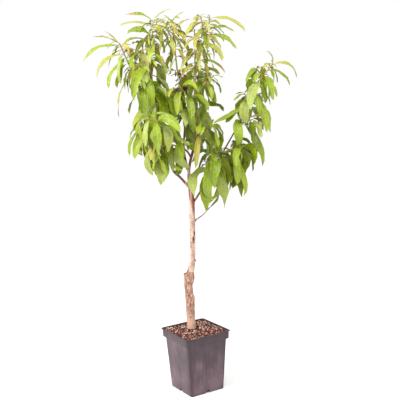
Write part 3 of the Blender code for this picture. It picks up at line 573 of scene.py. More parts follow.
BARE_TWIG_ROUTE = (
    ((4, 0, 446), 6.5), ((13, -2, 453), 4.2), ((31, -6, 466), 2.6), ((45, -9, 481), 2.8),
    ((52, -10, 487), 1.6))
SPUR_ROUTE = (((45, -9, 480.5), 1.6), ((42.5, -9, 496), 1.3), ((40, -9, 512), 1.0))

# Stubs of cut shoots: the old stem's above the graft, and one at the fork.
STUB_ROUTES = (
    (((-15, 0, 296), 13), ((-22, -1, 312), 9.5)),
    (((-1, 0, 575), 6.4), ((-7.5, -6, 589), 5)),
)

# Lumps in the wood and on the bare twig: centre, size and turn.
WOOD_LUMPS = (
    ((-5.5, -4, 240), (14, 15, 38), 4), ((-4.6, 0, 297), (14.5, 20, 36), 10), ((6.5, -4, 407), (7, 8, 22), 0),
    ((-4.4, 0, 462), (5, 5, 7), 0), ((6.4, -2, 345), (6, 5, 8), 0), ((2.2, -0.5, 393), (16.5, 16, 5), 0),
    ((-11.5, -10, 197), (7, 6, 6), 0), ((3.2, 0.5, 493), (15.5, 14.5, 22), 0),
)
TWIG_LUMPS = (
    ((45, -9, 481), (5, 4, 5), 0), ((31, -6, 466), (3.6, 3.4, 4), 0), ((9, -1, 450), (8, 7, 8), 0),
)


def smooth_route(route, spacing=ROUTE_STEP):
    """Points and radii on a Catmull-Rom curve through a route's stations, about a spacing apart."""
    spots = [Vector(point) * MM for point, _ in route]
    radii = [width * MM / 2 for _, width in route]
    spots = [2 * spots[0] - spots[1], *spots, 2 * spots[-1] - spots[-2]]
    made = []
    for i in range(1, len(spots) - 2):
        before, start, end, after = spots[i - 1:i + 3]
        steps = max(1, round((end - start).length / spacing))
        for k in range(steps):
            t = k / steps
            point = 0.5 * (
                2 * start
                + (end - before) * t
                + (2 * before - 5 * start + 4 * end - after) * t ** 2
                + (3 * start - before - 3 * end + after) * t ** 3
            )
            made.append((point, radii[i - 1] + (radii[i] - radii[i - 1]) * t))
    made.append((spots[-2], radii[-1]))
    return made


def limb_rings(path, sides):
    """Round sections along a path, without a twist."""
    rings = []
    side = None
    for index, (point, radius) in enumerate(path):
        after = path[min(index + 1, len(path) - 1)][0]
        before = path[max(index - 1, 0)][0]
        along = (after - before).normalized()
        side = along.orthogonal() if side is None else side - along * side.dot(along)
        side.normalize()
        up = along.cross(side)
        rings.append([point + (side * math.cos(angle) + up * math.sin(angle)) * radius
                      for angle in (2 * math.pi * k / sides for k in range(sides))])
    return rings


def swelling(bm, centre, size, turn):
    """A lump in the wood: a stretched ball."""
    lump = bmesh.ops.create_uvsphere(bm, u_segments=LUMP_SEGMENTS, v_segments=LUMP_RINGS, radius=0.5)["verts"]
    bmesh.ops.scale(bm, vec=[side * MM for side in size], verts=lump)
    bmesh.ops.rotate(bm, matrix=Matrix.Rotation(math.radians(turn), 3, "Y"), verts=lump)
    bmesh.ops.translate(bm, vec=Vector(centre) * MM, verts=lump)


def marked(tree, colour):
    """Lays marks over a bark colour: the weathered foot, red brown flushes, dark creases and scars."""
    for mark, shade in (("weathering", "#C6A28C"), ("flush", "#84493C"), ("stain", "#3C2420")):
        where = node(tree, "ShaderNodeAttribute", {"attribute_name": mark})
        colour = node(tree, "ShaderNodeMixRGB", inputs={"Color2": linear(shade)},
                      links={"Fac": where.outputs["Fac"], "Color1": colour}).outputs[0]
    return colour


def rootstock_bark():
    """The rootstock's bark, grey brown with tan showing in the fissures, which run up it 3 to 5 mm apart."""
    made, tree, shader = new_material("fissured_rootstock_bark", 0.88, 0.25)
    ridges = object_pattern(tree, (300, 300, 60), 6, Roughness=0.6)
    colour = node(tree, "ShaderNodeValToRGB", links={"Fac": ridges},
                  stops=((0.3, "#553930"), (0.45, "#8E6A5A"), (0.6, "#B6917D"), (0.75, "#D0B09C")))
    tree.links.new(marked(tree, colour.outputs[0]), shader.inputs["Base Color"])
    relief(tree, shader, ridges, 0.8 * MM)
    return made


def scion_bark():
    """The scion's bark, smooth and pinkish beige, flushed red brown in places, with pores in short dashes."""
    made, tree, shader = new_material("smooth_scion_bark", 0.62, 0.35)
    dashes = object_pattern(tree, (150, 150, 900), 3)
    clouds = arithmetic(tree, "MULTIPLY", object_pattern(tree, (70, 70, 22), 4), 1 - DASH_SHARE)
    both = arithmetic(tree, "MULTIPLY_ADD", dashes, DASH_SHARE, clouds)
    colour = node(tree, "ShaderNodeValToRGB", links={"Fac": both},
                  stops=((0.36, "#80594B"), (0.46, "#B39384"), (0.56, "#D2BCAE"), (0.7, "#E2D1C6")))
    tree.links.new(marked(tree, colour.outputs[0]), shader.inputs["Base Color"])
    relief(tree, shader, dashes, 0.25 * MM)
    return made


def young_bark():
    """Thin shiny bark of young wood: purple brown low on the boughs, olive and tan towards their ends."""
    made, tree, shader = new_material("thin_young_bark", 0.5, 0.4)
    place = node(tree, "ShaderNodeTexCoord")
    height = node(tree, "ShaderNodeSeparateXYZ", links={"Vector": place.outputs["Object"]})
    cloud = object_pattern(tree, (60, 60, 30), 3)
    mixed = arithmetic(tree, "MULTIPLY_ADD", cloud, 0.25, height.outputs["Z"])
    node(tree, "ShaderNodeValToRGB", links={"Fac": mixed},
         stops=((0.62, "#8C5A50"), (0.70, "#6A3B36"), (0.80, "#7E5A3A"), (0.92, "#9A8A4E")),
         into=shader.inputs["Base Color"])
    relief(tree, shader, cloud, 0.3 * MM)
    return made


def grown_wood(name, bm, *finishes):
    """Lofts and lumps grown together in one skin."""
    piece = placed(bm, name, *finishes)
    skin = piece.modifiers.new("skin", "REMESH")
    skin.mode = "VOXEL"
    skin.voxel_size = WOOD_VOXEL
    return applied(piece)


def bark_relief(piece, depth_at):
    """Pushes the skin in and out along its normals by ridges that run up the limb."""
    mesh = piece.data
    normals = [vert.normal.copy() for vert in mesh.vertices]
    for vert, normal in zip(mesh.vertices, normals):
        spot = vert.co
        ridge = sum(noise.noise(Vector((spot.x * across, spot.y * across, spot.z * along))) * size
                    for across, along, size in RIDGES)
        vert.co = spot + normal * (ridge * depth_at(spot))
    mesh.update()


paths = {bough.name: smooth_route(bough.route) for bough in BOUGHS}
paths["trunk"] = smooth_route(TRUNK_ROUTE)
fine_paths = {bough.name: smooth_route(bough.route, FINE_STEP) for bough in BOUGHS}
fine_paths["trunk"] = smooth_route(TRUNK_ROUTE, FINE_STEP)

wood_mesh = bmesh.new()
for path in fine_paths.values():
    loft(wood_mesh, limb_rings(path, WOOD_SIDES))
for lump in WOOD_LUMPS:
    swelling(wood_mesh, *lump)
for route in STUB_ROUTES:
    loft(wood_mesh, limb_rings(smooth_route(route, FINE_STEP), WOOD_SIDES))
wood = grown_wood("trunk_and_boughs", wood_mesh, rootstock_bark(), scion_bark(), young_bark())


# Marks in the bark, as centres and half sizes in millimetres.
MARKS = {
    "stain": (
        ((-12, -9, 287.5), (9, 12, 1.3)), ((-8.4, -12, 243), (1.3, 6, 13)),
        ((-15.9, -9, 253.5), (2.2, 6, 2.6)), ((-11.8, -13, 196.7), (2.4, 4, 2.2)),
        ((-21.6, -3, 313.5), (5, 8, 3)), ((-0.6, -6, 518), (2, 4, 1.5)),
        ((6.5, -6, 520.3), (2, 4, 1.5)), ((9, -3, 504), (3.5, 6, 3)), ((6.8, -6, 418), (2.8, 6, 10)),
        ((4.8, -7, 404), (2.6, 6, 8)), ((1.8, -5, 393.7), (9, 9, 1.3)), ((-5.4, -4, 466.3), (1.7, 4, 2)),
        ((5.6, -6, 347), (2.6, 4, 2.2)), ((-7.6, -6, 590), (3, 5, 3)),
    ),
    "flush": (
        ((8, -4, 497), (7.5, 12, 36)), ((-6, 3, 560), (7, 9, 24)), ((5, 2, 440), (5, 8, 20)),
        ((3.4, -6, 402), (5, 6, 12)), ((-2.6, -6, 522), (3, 6, 22)),
    ),
    "weathering": (((-10.6, 0, 182), (22, 22, 28)),),
}


def mark_at(spot, marks):
    """How much of any mark shows at a spot, from 0 to 1, fading over its outer half."""
    shown = 0
    for centre, size in marks:
        away = Vector([(value / MM - middle) / half for value, middle, half in zip(spot, centre, size)])
        shown = max(shown, min(1, 2 * (1 - away.length)))
    return shown


def relief_depth(spot):
    """Deep fissures below the graft, and next to none on the scion and the thin boughs."""
    below = min(1, max(0, (GRAFT_HEIGHT - spot.z) / GRAFT_BLEND))
    return SMOOTH_RELIEF + ROUGH_RELIEF * below


bark_relief(wood, relief_depth)
spots = [vert.co.copy() for vert in wood.data.vertices]
normals = [vert.normal.copy() for vert in wood.data.vertices]
for mark, places in MARKS.items():
    shown = [mark_at(spot, places) for spot in spots]
    wood.data.attributes.new(mark, "FLOAT", "POINT").data.foreach_set("value", shown)
    if mark == "stain":
        for vert, normal, depth in zip(wood.data.vertices, normals, shown):
            vert.co -= normal * (depth * STAIN_DEPTH)
for face in wood.data.polygons:
    middle = face.center
    if middle.z < GRAFT_HEIGHT - GRAFT_SLANT * abs(middle.x - GRAFT_MIDDLE):
        face.material_index = 0
    elif middle.z < SCION_END and abs(middle.x - SCION_MIDDLE) < SCION_REACH:
        face.material_index = 1
    else:
        face.material_index = 2
finished(wood, "trunk_bark", "trunk", *[bough.name for bough in BOUGHS])

dead_mesh = bmesh.new()
for route in (BARE_TWIG_ROUTE, SPUR_ROUTE):
    loft(dead_mesh, limb_rings(smooth_route(route, FINE_STEP), TWIG_SIDES))
for lump in TWIG_LUMPS:
    swelling(dead_mesh, *lump)

# The bare dead twig: grey brown with a purple cast.
dead_bark = grained("dead_twig_bark", 0.85, 0.25, (260, 260, 130), 4,
                    ((0.35, "#6B4A44"), (0.65, "#A88478")), 0.3 * MM)
dead = placed(dead_mesh, "dead_twig", dead_bark)
finished(dead, "dead_wood", "bare_twig")


# The leaves and the green shoots that carry them. Each mass is one shoot with side shoots, and its leaves
# follow each other a fixed turn round. Old leaves are broad and hang, young ones are narrow and stand out.
# Short spurs and a tuft of young leaves at each tip carry the growth on where there is room.

PATH_STEPS = 20
STEM_START = 4 * MM
STEM_END = 2.8 * MM
STEM_STATIONS = 4
TWIG_START = 3.4 * MM
GAP = 0.3 * MM
LEADING_PROFILE = (0.25, 0.5, 0.8, 1)
PLAIN_PROFILE = (0.36, 0.72, 1)
SHORT_PROFILE = (0.45, 1)
SHORT_LEAF = 66 * MM
TWIG_PLACE = 0.3
TWIG_ROOM = 0.35
TWIG_TURN = (60, 150)
TWIG_RISE = (25, 60)
TWIG_LENGTH = (0.45, 0.7)
TWIG_LEAVES = 0.5
FEWEST_LEAVES = 3
LEAF_TURN = 144
TURN_SPREAD = 20
BARE_FOOT = 0.12
CROWDING = 1.25
YOUNG_PART = 0.42
YOUNGEST_AGE = 0.35
YOUNG_LENGTH = 0.3
YOUNG_WIDTH = 0.25
SIZE_SPREAD = (0.85, 1.12)
YOUNG_OPENING = 28
OLD_OPENING = 72
OPENING_SPREAD = 10
YOUNG_DROOP = 0.55
RISE_DROOP = 0.5
DROOP_SPREAD = (0.8, 1.15)
LEADING_ROLL = 40
OUTWARD_ROLL = 35
ROLL_SPREAD = 30
SECOND_TRIES = (0, 40, -40, 80, -80)
NATURE = 20260

MASS_FIELDS = "name limb along heading rise bend length leaves leaf width droop twigs seed leading"
Mass = namedtuple("Mass", MASS_FIELDS)
Leaf = namedtuple("Leaf", "share azimuth rise droop length width")

MASSES = (
    Mass("leaves_far_left", "left_bough", 1.0, 180, 66, -4, 106, 13, 80, 17, 96, 1, 1, (
        Leaf(0.98, 176, 38, 42, 72, 9), Leaf(0.97, 200, 50, 16, 50, 8), Leaf(0.92, 184, 18, 76, 110, 14),
        Leaf(0.72, 192, 8, 95, 103, 18), Leaf(0.55, 204, -12, 80, 92, 17),
        Leaf(0.25, 172, -40, 60, 125, 11))),
    Mass("leaves_upper_left", "upper_left_bough", 1.0, 10, 86, 2, 112, 13, 72, 17, 92, 1, 2, (
        Leaf(0.98, 180, 48, 66, 76, 11), Leaf(0.86, 188, 32, 56, 88, 10), Leaf(0.62, 200, 60, 100, 74, 22),
        Leaf(0.42, 172, 62, 125, 98, 15), Leaf(0.92, -20, -8, 70, 112, 21), Leaf(0.9, -60, 10, 125, 76, 20),
        Leaf(0.98, 10, 58, 50, 58, 6))),
    Mass("leaves_left_crown", "left_bough", 0.88, -20, 75, 0, 100, 12, 95, 25, 118, 1, 3, (
        Leaf(0.7, -110, 10, 95, 140, 30),)),
    Mass("leaves_left_side", "left_bough", 0.72, -70, 62, 0, 76, 9, 100, 30, 120, 1, 4, ()),
    Mass("leaves_lower_left", "left_bough", 0.36, 196, 52, 0, 100, 10, 98, 26, 115, 1, 5, (
        Leaf(0.98, 184, -8, 70, 62, 10), Leaf(0.9, 200, -30, 60, 90, 16), Leaf(0.35, -84, -40, 55, 116, 31))),
    Mass("leaves_top_centre", "centre_bough", 1.0, 170, 86, 0, 120, 14, 64, 14, 78, 1, 6, (
        Leaf(0.97, 10, 54, 32, 40, 6), Leaf(0.74, 15, 66, 60, 60, 9), Leaf(0.95, 190, 58, 30, 28, 6))),
    Mass("leaves_centre_left", "centre_bough", 0.62, 196, 42, 4, 70, 8, 84, 21, 100, 1, 7, ()),
    Mass("leaves_centre", "trunk", 0.86, -150, 52, 4, 64, 8, 84, 21, 110, 1, 8, ()),
    Mass("leaves_front_top", "front_bough", 1.0, -140, 30, 5, 56, 9, 90, 23, 110, 1, 9, ()),
    Mass("leaves_front_low", "front_bough", 0.4, -150, 16, 5, 60, 10, 84, 23, 118, 1, 10, ()),
    Mass("leaves_inner_left", "left_bough", 0.4, -84, 14, 0, 54, 11, 100, 27, 118, 1, 24, ()),
    Mass("leaves_upper_right", "trunk", 1.0, 0, 70, -4, 124, 15, 64, 14, 84, 1, 11, (
        Leaf(1.0, -6, 14, 74, 100, 15), Leaf(0.73, 10, 38, 78, 76, 10), Leaf(0.63, -12, 16, 78, 92, 16),
        Leaf(0.48, -30, 0, 80, 74, 20), Leaf(0.15, 6, 10, 76, 80, 11))),
    Mass("leaves_top_middle", "trunk", 0.955, 80, 84, 0, 126, 12, 62, 13, 78, 1, 12, ()),
    Mass("leaves_mid_right", "trunk", 0.9, 4, 44, 2, 68, 10, 58, 14, 84, 1, 13, ()),
    Mass("leaves_right_column", "trunk", 0.74, -34, 36, 0, 62, 9, 98, 25, 120, 1, 14, (
        Leaf(0.4, -150, -20, 70, 110, 16), Leaf(0.97, 10, 25, 5, 72, 15))),
    Mass("leaves_lower_centre", "right_bough", 0.22, -55, 65, 5, 90, 13, 112, 28, 130, 1, 15, (
        Leaf(0.55, -20, -60, 30, 124, 30),)),
    Mass("leaves_lower_right", "right_bough", 0.46, -45, 10, 0, 60, 13, 110, 28, 125, 1, 16, (
        Leaf(0.1, -60, -50, 40, 128, 30), Leaf(0.5, -30, -50, 50, 124, 18))),
    Mass("leaves_right_edge", "right_bough", 0.7, -30, 16, 0, 42, 5, 94, 22, 114, 0, 17, (
        Leaf(0.6, -14, -62, 20, 122, 32), Leaf(0.3, -50, -50, 40, 104, 20),
        Leaf(0.98, -60, -20, 60, 62, 17))),
    Mass("leaves_far_right_low", "right_bough", 0.8, -30, 50, 0, 56, 8, 92, 24, 120, 1, 18, (
        Leaf(0.62, 8, -30, 60, 100, 23), Leaf(0.3, 210, -8, 40, 78, 19), Leaf(0.85, -60, -30, 60, 104, 24))),
    Mass("leaves_far_right_top", "right_bough", 1.0, -4, 50, 2, 74, 12, 62, 16, 96, 1, 19, (
        Leaf(0.95, 170, 116, 90, 42, 8), Leaf(0.93, 4, 34, 125, 88, 15), Leaf(0.7, -14, 10, 90, 76, 15),
        Leaf(0.3, -20, -10, 70, 66, 19), Leaf(0.25, -110, 0, 85, 110, 24), Leaf(0.5, -70, -10, 75, 90, 22))),
    Mass("leaves_back_top", "back_bough", 1.0, 110, 56, 10, 80, 12, 82, 20, 104, 1, 20, ()),
    Mass("leaves_back_low", "back_bough", 0.5, 130, 20, 8, 74, 12, 104, 26, 118, 1, 21, ()),
    Mass("leaves_back_left", "upper_left_bough", 0.5, 116, 40, 6, 84, 11, 98, 24, 112, 1, 22, ()),
    Mass("leaves_back_right", "right_bough", 0.34, 70, 26, 6, 76, 10, 102, 26, 114, 1, 23, ()),
)


def heading_vector(azimuth, rise):
    """A unit vector from its bearing and its rise over the level, in degrees."""
    azimuth = math.radians(azimuth)
    rise = math.radians(rise)
    return Vector((math.cos(azimuth) * math.cos(rise), math.sin(azimuth) * math.cos(rise), math.sin(rise)))


def arched(start, azimuth, rise, droop, length, shares, sag=1.0):
    """Points and directions at shares of a path that sets out at one slope and sinks by droop on its way.

    A sag over 1 takes most of the bend near the start, so that the rest hangs straight.
    """
    point = Vector(start)
    made = []
    wanted = list(shares)
    for k in range(PATH_STEPS + 1):
        gone = k / PATH_STEPS
        while wanted and wanted[0] <= gone + 1e-9:
            sunk = droop * (1 - (1 - gone) ** sag)
            made.append((point.copy(), heading_vector(azimuth, rise - sunk)))
            wanted.pop(0)
        half_on = min(1, gone + 0.5 / PATH_STEPS)
        middle = heading_vector(azimuth, rise - droop * (1 - (1 - half_on) ** sag))
        point += middle * (length / PATH_STEPS)
    return made


def point_along(path, share):
    """Point and direction at a share of a limb's length."""
    spots = [point for point, _ in path]
    lengths = [(end - start).length for start, end in zip(spots, spots[1:])]
    left = share * sum(lengths)
    for start, end, length in zip(spots, spots[1:], lengths):
        if left <= length:
            return start.lerp(end, left / length), (end - start).normalized()
        left -= length
    return spots[-1], (spots[-1] - spots[-2]).normalized()


def seat_on(path, share):
    """The point at a share of a stem's stations, and the stem's direction there."""
    seat = share * (len(path) - 1)
    low = min(int(seat), len(path) - 2)
    return path[low][0].lerp(path[low + 1][0], seat - low), path[low][1]


def stem_of(mass, paths):
    """The main stem of a mass: it carries on from a bough's tip, or leaves the limb's side."""
    point, along = point_along(paths[mass.limb], mass.along)
    start = point + along * GAP if mass.along == 1.0 else point
    shares = [k / STEM_STATIONS for k in range(STEM_STATIONS + 1)]
    return arched(start, mass.heading, mass.rise, mass.bend, mass.length * MM, shares)


def twigs_of(mass):
    """Side twigs by the seeded rule: where each leaves the stem, its heading, rise, length and leaves."""
    nature = random.Random(f"{NATURE} {mass.seed} twigs")
    twigs = []
    for k in range(mass.twigs):
        share = TWIG_PLACE + TWIG_ROOM * (k + nature.random()) / mass.twigs
        turn = nature.uniform(*TWIG_TURN) * nature.choice((-1, 1))
        rise = nature.uniform(*TWIG_RISE)
        length = mass.length * nature.uniform(*TWIG_LENGTH)
        twigs.append((share, mass.heading + turn, rise, length))
    return twigs


def outward_roll(start, azimuth):
    """The roll that leans a blade's upper side away from the middle of the crown."""
    outward = Vector((start.x, start.y, 0)).normalized()
    return -OUTWARD_ROLL * outward.dot(heading_vector(azimuth + 90, 0))


def leaves_on(mass, path, count, key):
    """Leaves by the seeded rule: each a turn of LEAF_TURN on, smaller and steeper near the tip."""
    phase = random.Random(f"{NATURE} {mass.seed} {key}").uniform(0, 360)
    made = []
    for k in range(count):
        nature = random.Random(f"{NATURE} {mass.seed} {key} {k}")
        u = (k + 0.6) / count
        age = min(1.0, YOUNGEST_AGE + (1 - YOUNGEST_AGE) * (1 - u) / YOUNG_PART)
        start, axis = seat_on(path, BARE_FOOT + (1 - BARE_FOOT) * (1 - (1 - u) ** CROWDING))
        around = math.radians(phase + k * LEAF_TURN + nature.uniform(-TURN_SPREAD, TURN_SPREAD))
        out = axis.orthogonal().normalized()
        out.rotate(Matrix.Rotation(around, 3, axis))
        opening = YOUNG_OPENING + (OLD_OPENING - YOUNG_OPENING) * age
        opening = math.radians(opening + nature.uniform(-OPENING_SPREAD, OPENING_SPREAD))
        aim = axis * math.cos(opening) + out * math.sin(opening)
        azimuth = math.degrees(math.atan2(aim.y, aim.x))
        rise = math.degrees(math.asin(max(-1, min(1, aim.z))))
        length = mass.leaf * MM * (YOUNG_LENGTH + (1 - YOUNG_LENGTH) * age) * nature.uniform(*SIZE_SPREAD)
        width = mass.width * MM * (YOUNG_WIDTH + (1 - YOUNG_WIDTH) * age) * nature.uniform(*SIZE_SPREAD)
        sinking = mass.droop * (YOUNG_DROOP + (1 - YOUNG_DROOP) * age) + RISE_DROOP * rise
        droop = sinking * nature.uniform(*DROOP_SPREAD)
        roll = outward_roll(start, azimuth) + nature.uniform(-ROLL_SPREAD, ROLL_SPREAD)
        profile = SHORT_PROFILE if length < SHORT_LEAF else PLAIN_PROFILE
        made.append((start, azimuth, rise, droop, length, width, roll, 1 + age, profile))
    return made


def leading_leaves(mass, stem):
    """The leaves that draw the crown's outline, each from its share of the stem."""
    made = []
    for leaf in mass.leading:
        start, _ = seat_on(stem, leaf.share)
        size = (leaf.length * MM, leaf.width * MM)
        roll = LEADING_ROLL * math.cos(math.radians(leaf.azimuth))
        made.append((start, leaf.azimuth, leaf.rise, leaf.droop, *size, roll, 1.0, LEADING_PROFILE))
    return made


def turned(leaf):
    """A leaf as the rule gives it, and then turned to one side and the other."""
    start, azimuth, *shape = leaf
    return [(start, azimuth + turn, *shape) for turn in SECOND_TRIES]


def grown(mass, paths):
    """The stem, the side twigs, and for each of them the leaves that the rule gives it."""
    stem = stem_of(mass, paths)
    twigs = []
    leaves = leading_leaves(mass, stem) + leaves_on(mass, stem, mass.leaves, "stem")
    shares = [k / STEM_STATIONS for k in range(STEM_STATIONS + 1)]
    for number, (share, heading, rise, length) in enumerate(twigs_of(mass)):
        start, _ = seat_on(stem, share)
        path = arched(start, heading, rise, mass.bend, length * MM, shares)
        twigs.append(path)
        count = max(FEWEST_LEAVES, round(mass.leaves * TWIG_LEAVES))
        leaves += leaves_on(mass, path, count, f"twig {number}")
    return stem, twigs, leaves


SAME_LEAF = 1.7 * MM
BLADE_SHARES = (0, 0.06, 0.14, 0.25, 0.38, 0.5, 0.62, 0.74, 0.86, 1)
SMALL_SHARES = (0, 0.1, 0.35, 0.6, 0.85, 1)
SMALL_LEAF = 45 * MM
LEAF_FOLD = 0.25
FOLD_SPREAD = (0.5, 1.8)
RIPPLE = (0.06, 0.26)
WAVES = (1.0, 2.2)
WAVE_LAG = (0.6, 2.4)
KEEL = 0.8 * MM
MIDRIB = 0.7 * MM
MIDRIB_SHARE = 0.3
BLADE_FULLNESS = 1.5
BLADE_FOOT = 0.72
BLADE_POINT = 0.88
PETIOLE_HALF = 0.7 * MM
PETIOLE_SHARE = 0.07
BLADE_TWIST = 30
SWAY = 0.14
NARROW_HEIGHT = 0.8
NARROWING = 0.8
YOUNG_TIP = 0.7
LEAF_CREASE = math.radians(60)

# Upper side, underside and midrib of each tone of leaf.
LEAF_TONES = {
    "shade": ("#5C6A04", "#707E0A", "#828E18"),
    "deep": ("#728804", "#829612", "#94A42A"),
    "green": ("#7E940A", "#8E9E24", "#9EAA36"),
    "bright": ("#8E9E16", "#98A234", "#A8B042"),
    # The pale grey green tone is a painted sheen: whole leaves drawn paler, as if their gloss caught the
    # light.
    "silver": ("#909C44", "#9CA64C", "#A8B05C"),
    "khaki": ("#9A9C36", "#A6A24C", "#B4B05A"),
    "yellow": ("#A69E36", "#AEA44C", "#BEB25A"),
    "bronze": ("#9C7A28", "#A2843C", "#B49048"),
    "dried": ("#46301C", "#57442E", "#604C34"),
}


def leaf_finish(name, colour, roughness, specular, quilting):
    """A leaf's skin, one plain green, puckered between side veins that stand about 7 mm apart."""
    made, tree, shader = new_material(name, roughness, specular)
    shader.inputs["Base Color"].default_value = linear(colour)
    relief(tree, shader, object_pattern(tree, (150, 150, 150), 4), quilting)
    return made


finishes = []
for tone, (upper, under, rib) in LEAF_TONES.items():
    finishes.append(leaf_finish(f"waxy_leaf_{tone}", upper, 0.28, 0.62, 3.2 * MM))
    finishes.append(leaf_finish(f"downy_underside_{tone}", under, 0.5, 0.25, 2 * MM))
    finishes.append(leaf_finish(f"midrib_{tone}", rib, 0.5, 0.4, 0.1 * MM))


def blade_half(share, width):
    """Half the width of a lance-shaped leaf at a share of its length."""
    if share <= PETIOLE_SHARE:
        return PETIOLE_HALF
    t = (share - PETIOLE_SHARE) / (1 - PETIOLE_SHARE)
    return max(PETIOLE_HALF * (1 - t), BLADE_FULLNESS * width * t ** BLADE_FOOT * (1 - t) ** BLADE_POINT)


def leaf_body(leaf, nature):
    """Rings of one leaf: edge, both sides of the midrib, the other edge, and the keel below.

    Each blade has its own fold, its own twist, and edges that ripple. High up the blades are narrower.
    """
    start, azimuth, rise, droop, length, width, roll, sag, _ = leaf
    if start.z > NARROW_HEIGHT:
        width *= NARROWING
    shares = SMALL_SHARES if length < SMALL_LEAF else BLADE_SHARES
    path = arched(start, azimuth, rise, droop, length, shares, sag)
    across = heading_vector(azimuth + 90, 0)
    fold = LEAF_FOLD * nature.uniform(*FOLD_SPREAD)
    ripple = width * nature.uniform(*RIPPLE)
    waves = nature.uniform(*WAVES) * 2 * math.pi
    sway = width * nature.uniform(-SWAY, SWAY)
    phase = nature.uniform(0, 2 * math.pi)
    lag = nature.uniform(*WAVE_LAG)
    twist = nature.uniform(-BLADE_TWIST, BLADE_TWIST)
    rings = []
    for (point, along), share in zip(path[:-1], shares):
        half = blade_half(share, width)
        side = Matrix.Rotation(math.radians(roll + twist * share), 3, along) @ across
        up = along.cross(side)
        rib = min(MIDRIB, MIDRIB_SHARE * half)
        point = point + side * (sway * math.sin(2 * math.pi * share))
        wave = ripple if share > 2 * PETIOLE_SHARE else 0
        left = up * (fold * half + wave * math.sin(phase + waves * share))
        right = up * (fold * half + wave * math.sin(phase + lag + waves * share))
        rings.append([point - side * half + left, point - side * rib, point + side * rib,
                      point + side * half + right, point - up * min(KEEL, half)])
    rings.append([path[-1][0]])
    return rings


# The finish of each face round a leaf: upper side, midrib, upper side, and the underside twice.
FACE_KINDS = (0, 2, 0, 1, 1)


def joined_leaves(name, leaves_with_tones):
    """Many leaves in one mesh, each with its tone's three finishes, and a tone of its own for its tip."""
    verts = []
    faces = []
    kinds = []
    tone_names = list(LEAF_TONES)
    for rings, tone, tip_tone in leaves_with_tones:
        first = len(verts)
        for ring in rings:
            verts += ring
        count = len(rings[0])
        bands = len(rings) - 1
        for row in range(bands):
            base = 3 * tone_names.index(tip_tone if (row + 0.5) / bands > YOUNG_TIP else tone)
            low = first + row * count
            for i in range(count):
                j = (i + 1) % count
                top = (low + count + j, low + count + i) if row < bands - 1 else (low + count,)
                faces.append((low + i, low + j, *top))
                kinds.append(base + FACE_KINDS[i])
        faces.append(tuple(first + count - 1 - i for i in range(count)))
        kinds.append(3 * tone_names.index(tone) + 2)
    blades = bpy.data.meshes.new("blades")
    blades.from_pydata([tuple(v) for v in verts], [], faces)
    blades.polygons.foreach_set("material_index", kinds)
    bm = bmesh.new()
    bm.from_mesh(blades)
    piece = placed(bm, name, *finishes)
    piece.data.set_sharp_from_angle(angle=LEAF_CREASE)
    return piece


def packed_surface(*names):
    """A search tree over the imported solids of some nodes."""
    points = []
    faces = []
    for name in names:
        mesh = frame["nodes"][name].data
        faces += [[index + len(points) for index in face.vertices] for face in mesh.polygons]
        points += [vert.co.copy() for vert in mesh.vertices]
    return BVHTree.FromPolygons(points, faces)


def stands(leaf, packed):
    """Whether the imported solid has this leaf: its middle line lies all along the solid's surface."""
    start, azimuth, rise, droop, length, width, roll, sag, stations = leaf
    middle = arched(start, azimuth, rise, droop, length, stations, sag)
    return all(packed.find_nearest(point)[3] < SAME_LEAF for point, _ in middle)


def has_room(leaf, box, packed):
    """Whether a further leaf stays in its mass's box, clear of every solid but the shoot that carries it."""
    start, azimuth, rise, droop, length, width, roll, sag, _ = leaf
    for point, _ in arched(start, azimuth, rise, droop, length, ROOM_SHARES, sag):
        if any(not low < value < high for low, value, high in zip(box[0], point, box[1])):
            return False
        if packed.find_nearest(point)[3] < ROOM + ROOM_WIDTH * width:
            return False
    return True


# Further growth: short spurs along every shoot, and a tuft of young leaves round its tip.
SPUR_SPACING = 21 * MM
LOW_SPUR_SPACING = 40 * MM
SPUR_FOOT = 0.15
SPUR_REACH = 0.8
SPUR_RISE = (10, 60)
SPUR_LENGTH = (9, 22)
SPUR_START = 2.0 * MM
SPUR_END = 1.3 * MM
SPUR_SHARES = (0, 0.5, 1)
SPUR_SIDES = 6
SHOOT_SIDES = 8
SPUR_LEAVES = 5
SPUR_SCALE = (0.4, 0.42)
TUFT_LEAVES = 7
LOW_TUFT_LEAVES = 4
TOP_HEIGHT = 0.74
TUFT_SCALE = (0.42, 0.36)
SMALL_DROOP = 0.6
ROOM = 1.2 * MM
ROOM_WIDTH = 0.3
ROOM_SHARES = (0.35, 0.6, 0.8, 1)


def smaller(mass, scale):
    """The mass's rule for leaves that are still small."""
    length, width = scale
    return mass._replace(leaf=mass.leaf * length, width=mass.width * width, droop=mass.droop * SMALL_DROOP)


def spurs_on(mass, path, key):
    """Short spurs by the seeded rule, as paths."""
    length = sum((end[0] - start[0]).length for start, end in zip(path, path[1:]))
    spacing = SPUR_SPACING if path[-1][0].z > TOP_HEIGHT else LOW_SPUR_SPACING
    made = []
    for k in range(int(length / spacing)):
        nature = random.Random(f"{NATURE} {mass.seed} {key} spur {k}")
        start, axis = seat_on(path, SPUR_FOOT + SPUR_REACH * (k + nature.random()) * spacing / length)
        heading = nature.uniform(0, 360)
        rise = nature.uniform(*SPUR_RISE)
        made.append(arched(start, heading, rise, 0, nature.uniform(*SPUR_LENGTH) * MM, SPUR_SHARES))
    return made


# Where small leaves have dried brown, in front of the leader: the middle and half size of the patch.
DRIED_PATCH = ((-24 * MM, 0, 0.83), (36 * MM, 60 * MM, 44 * MM))

# Tones dealt out by height, and their tips on small leaves ("same" is the leaf's own tone).
SMALL_WIDTH = 13 * MM
YOUNG_HEIGHT = 0.83
DRIED_TONES = (("dried", "dried"), ("dried", "dried"), ("shade", "dried"))
YOUNG_SMALL = ("khaki", "yellow", "khaki", "green", "deep", "yellow")
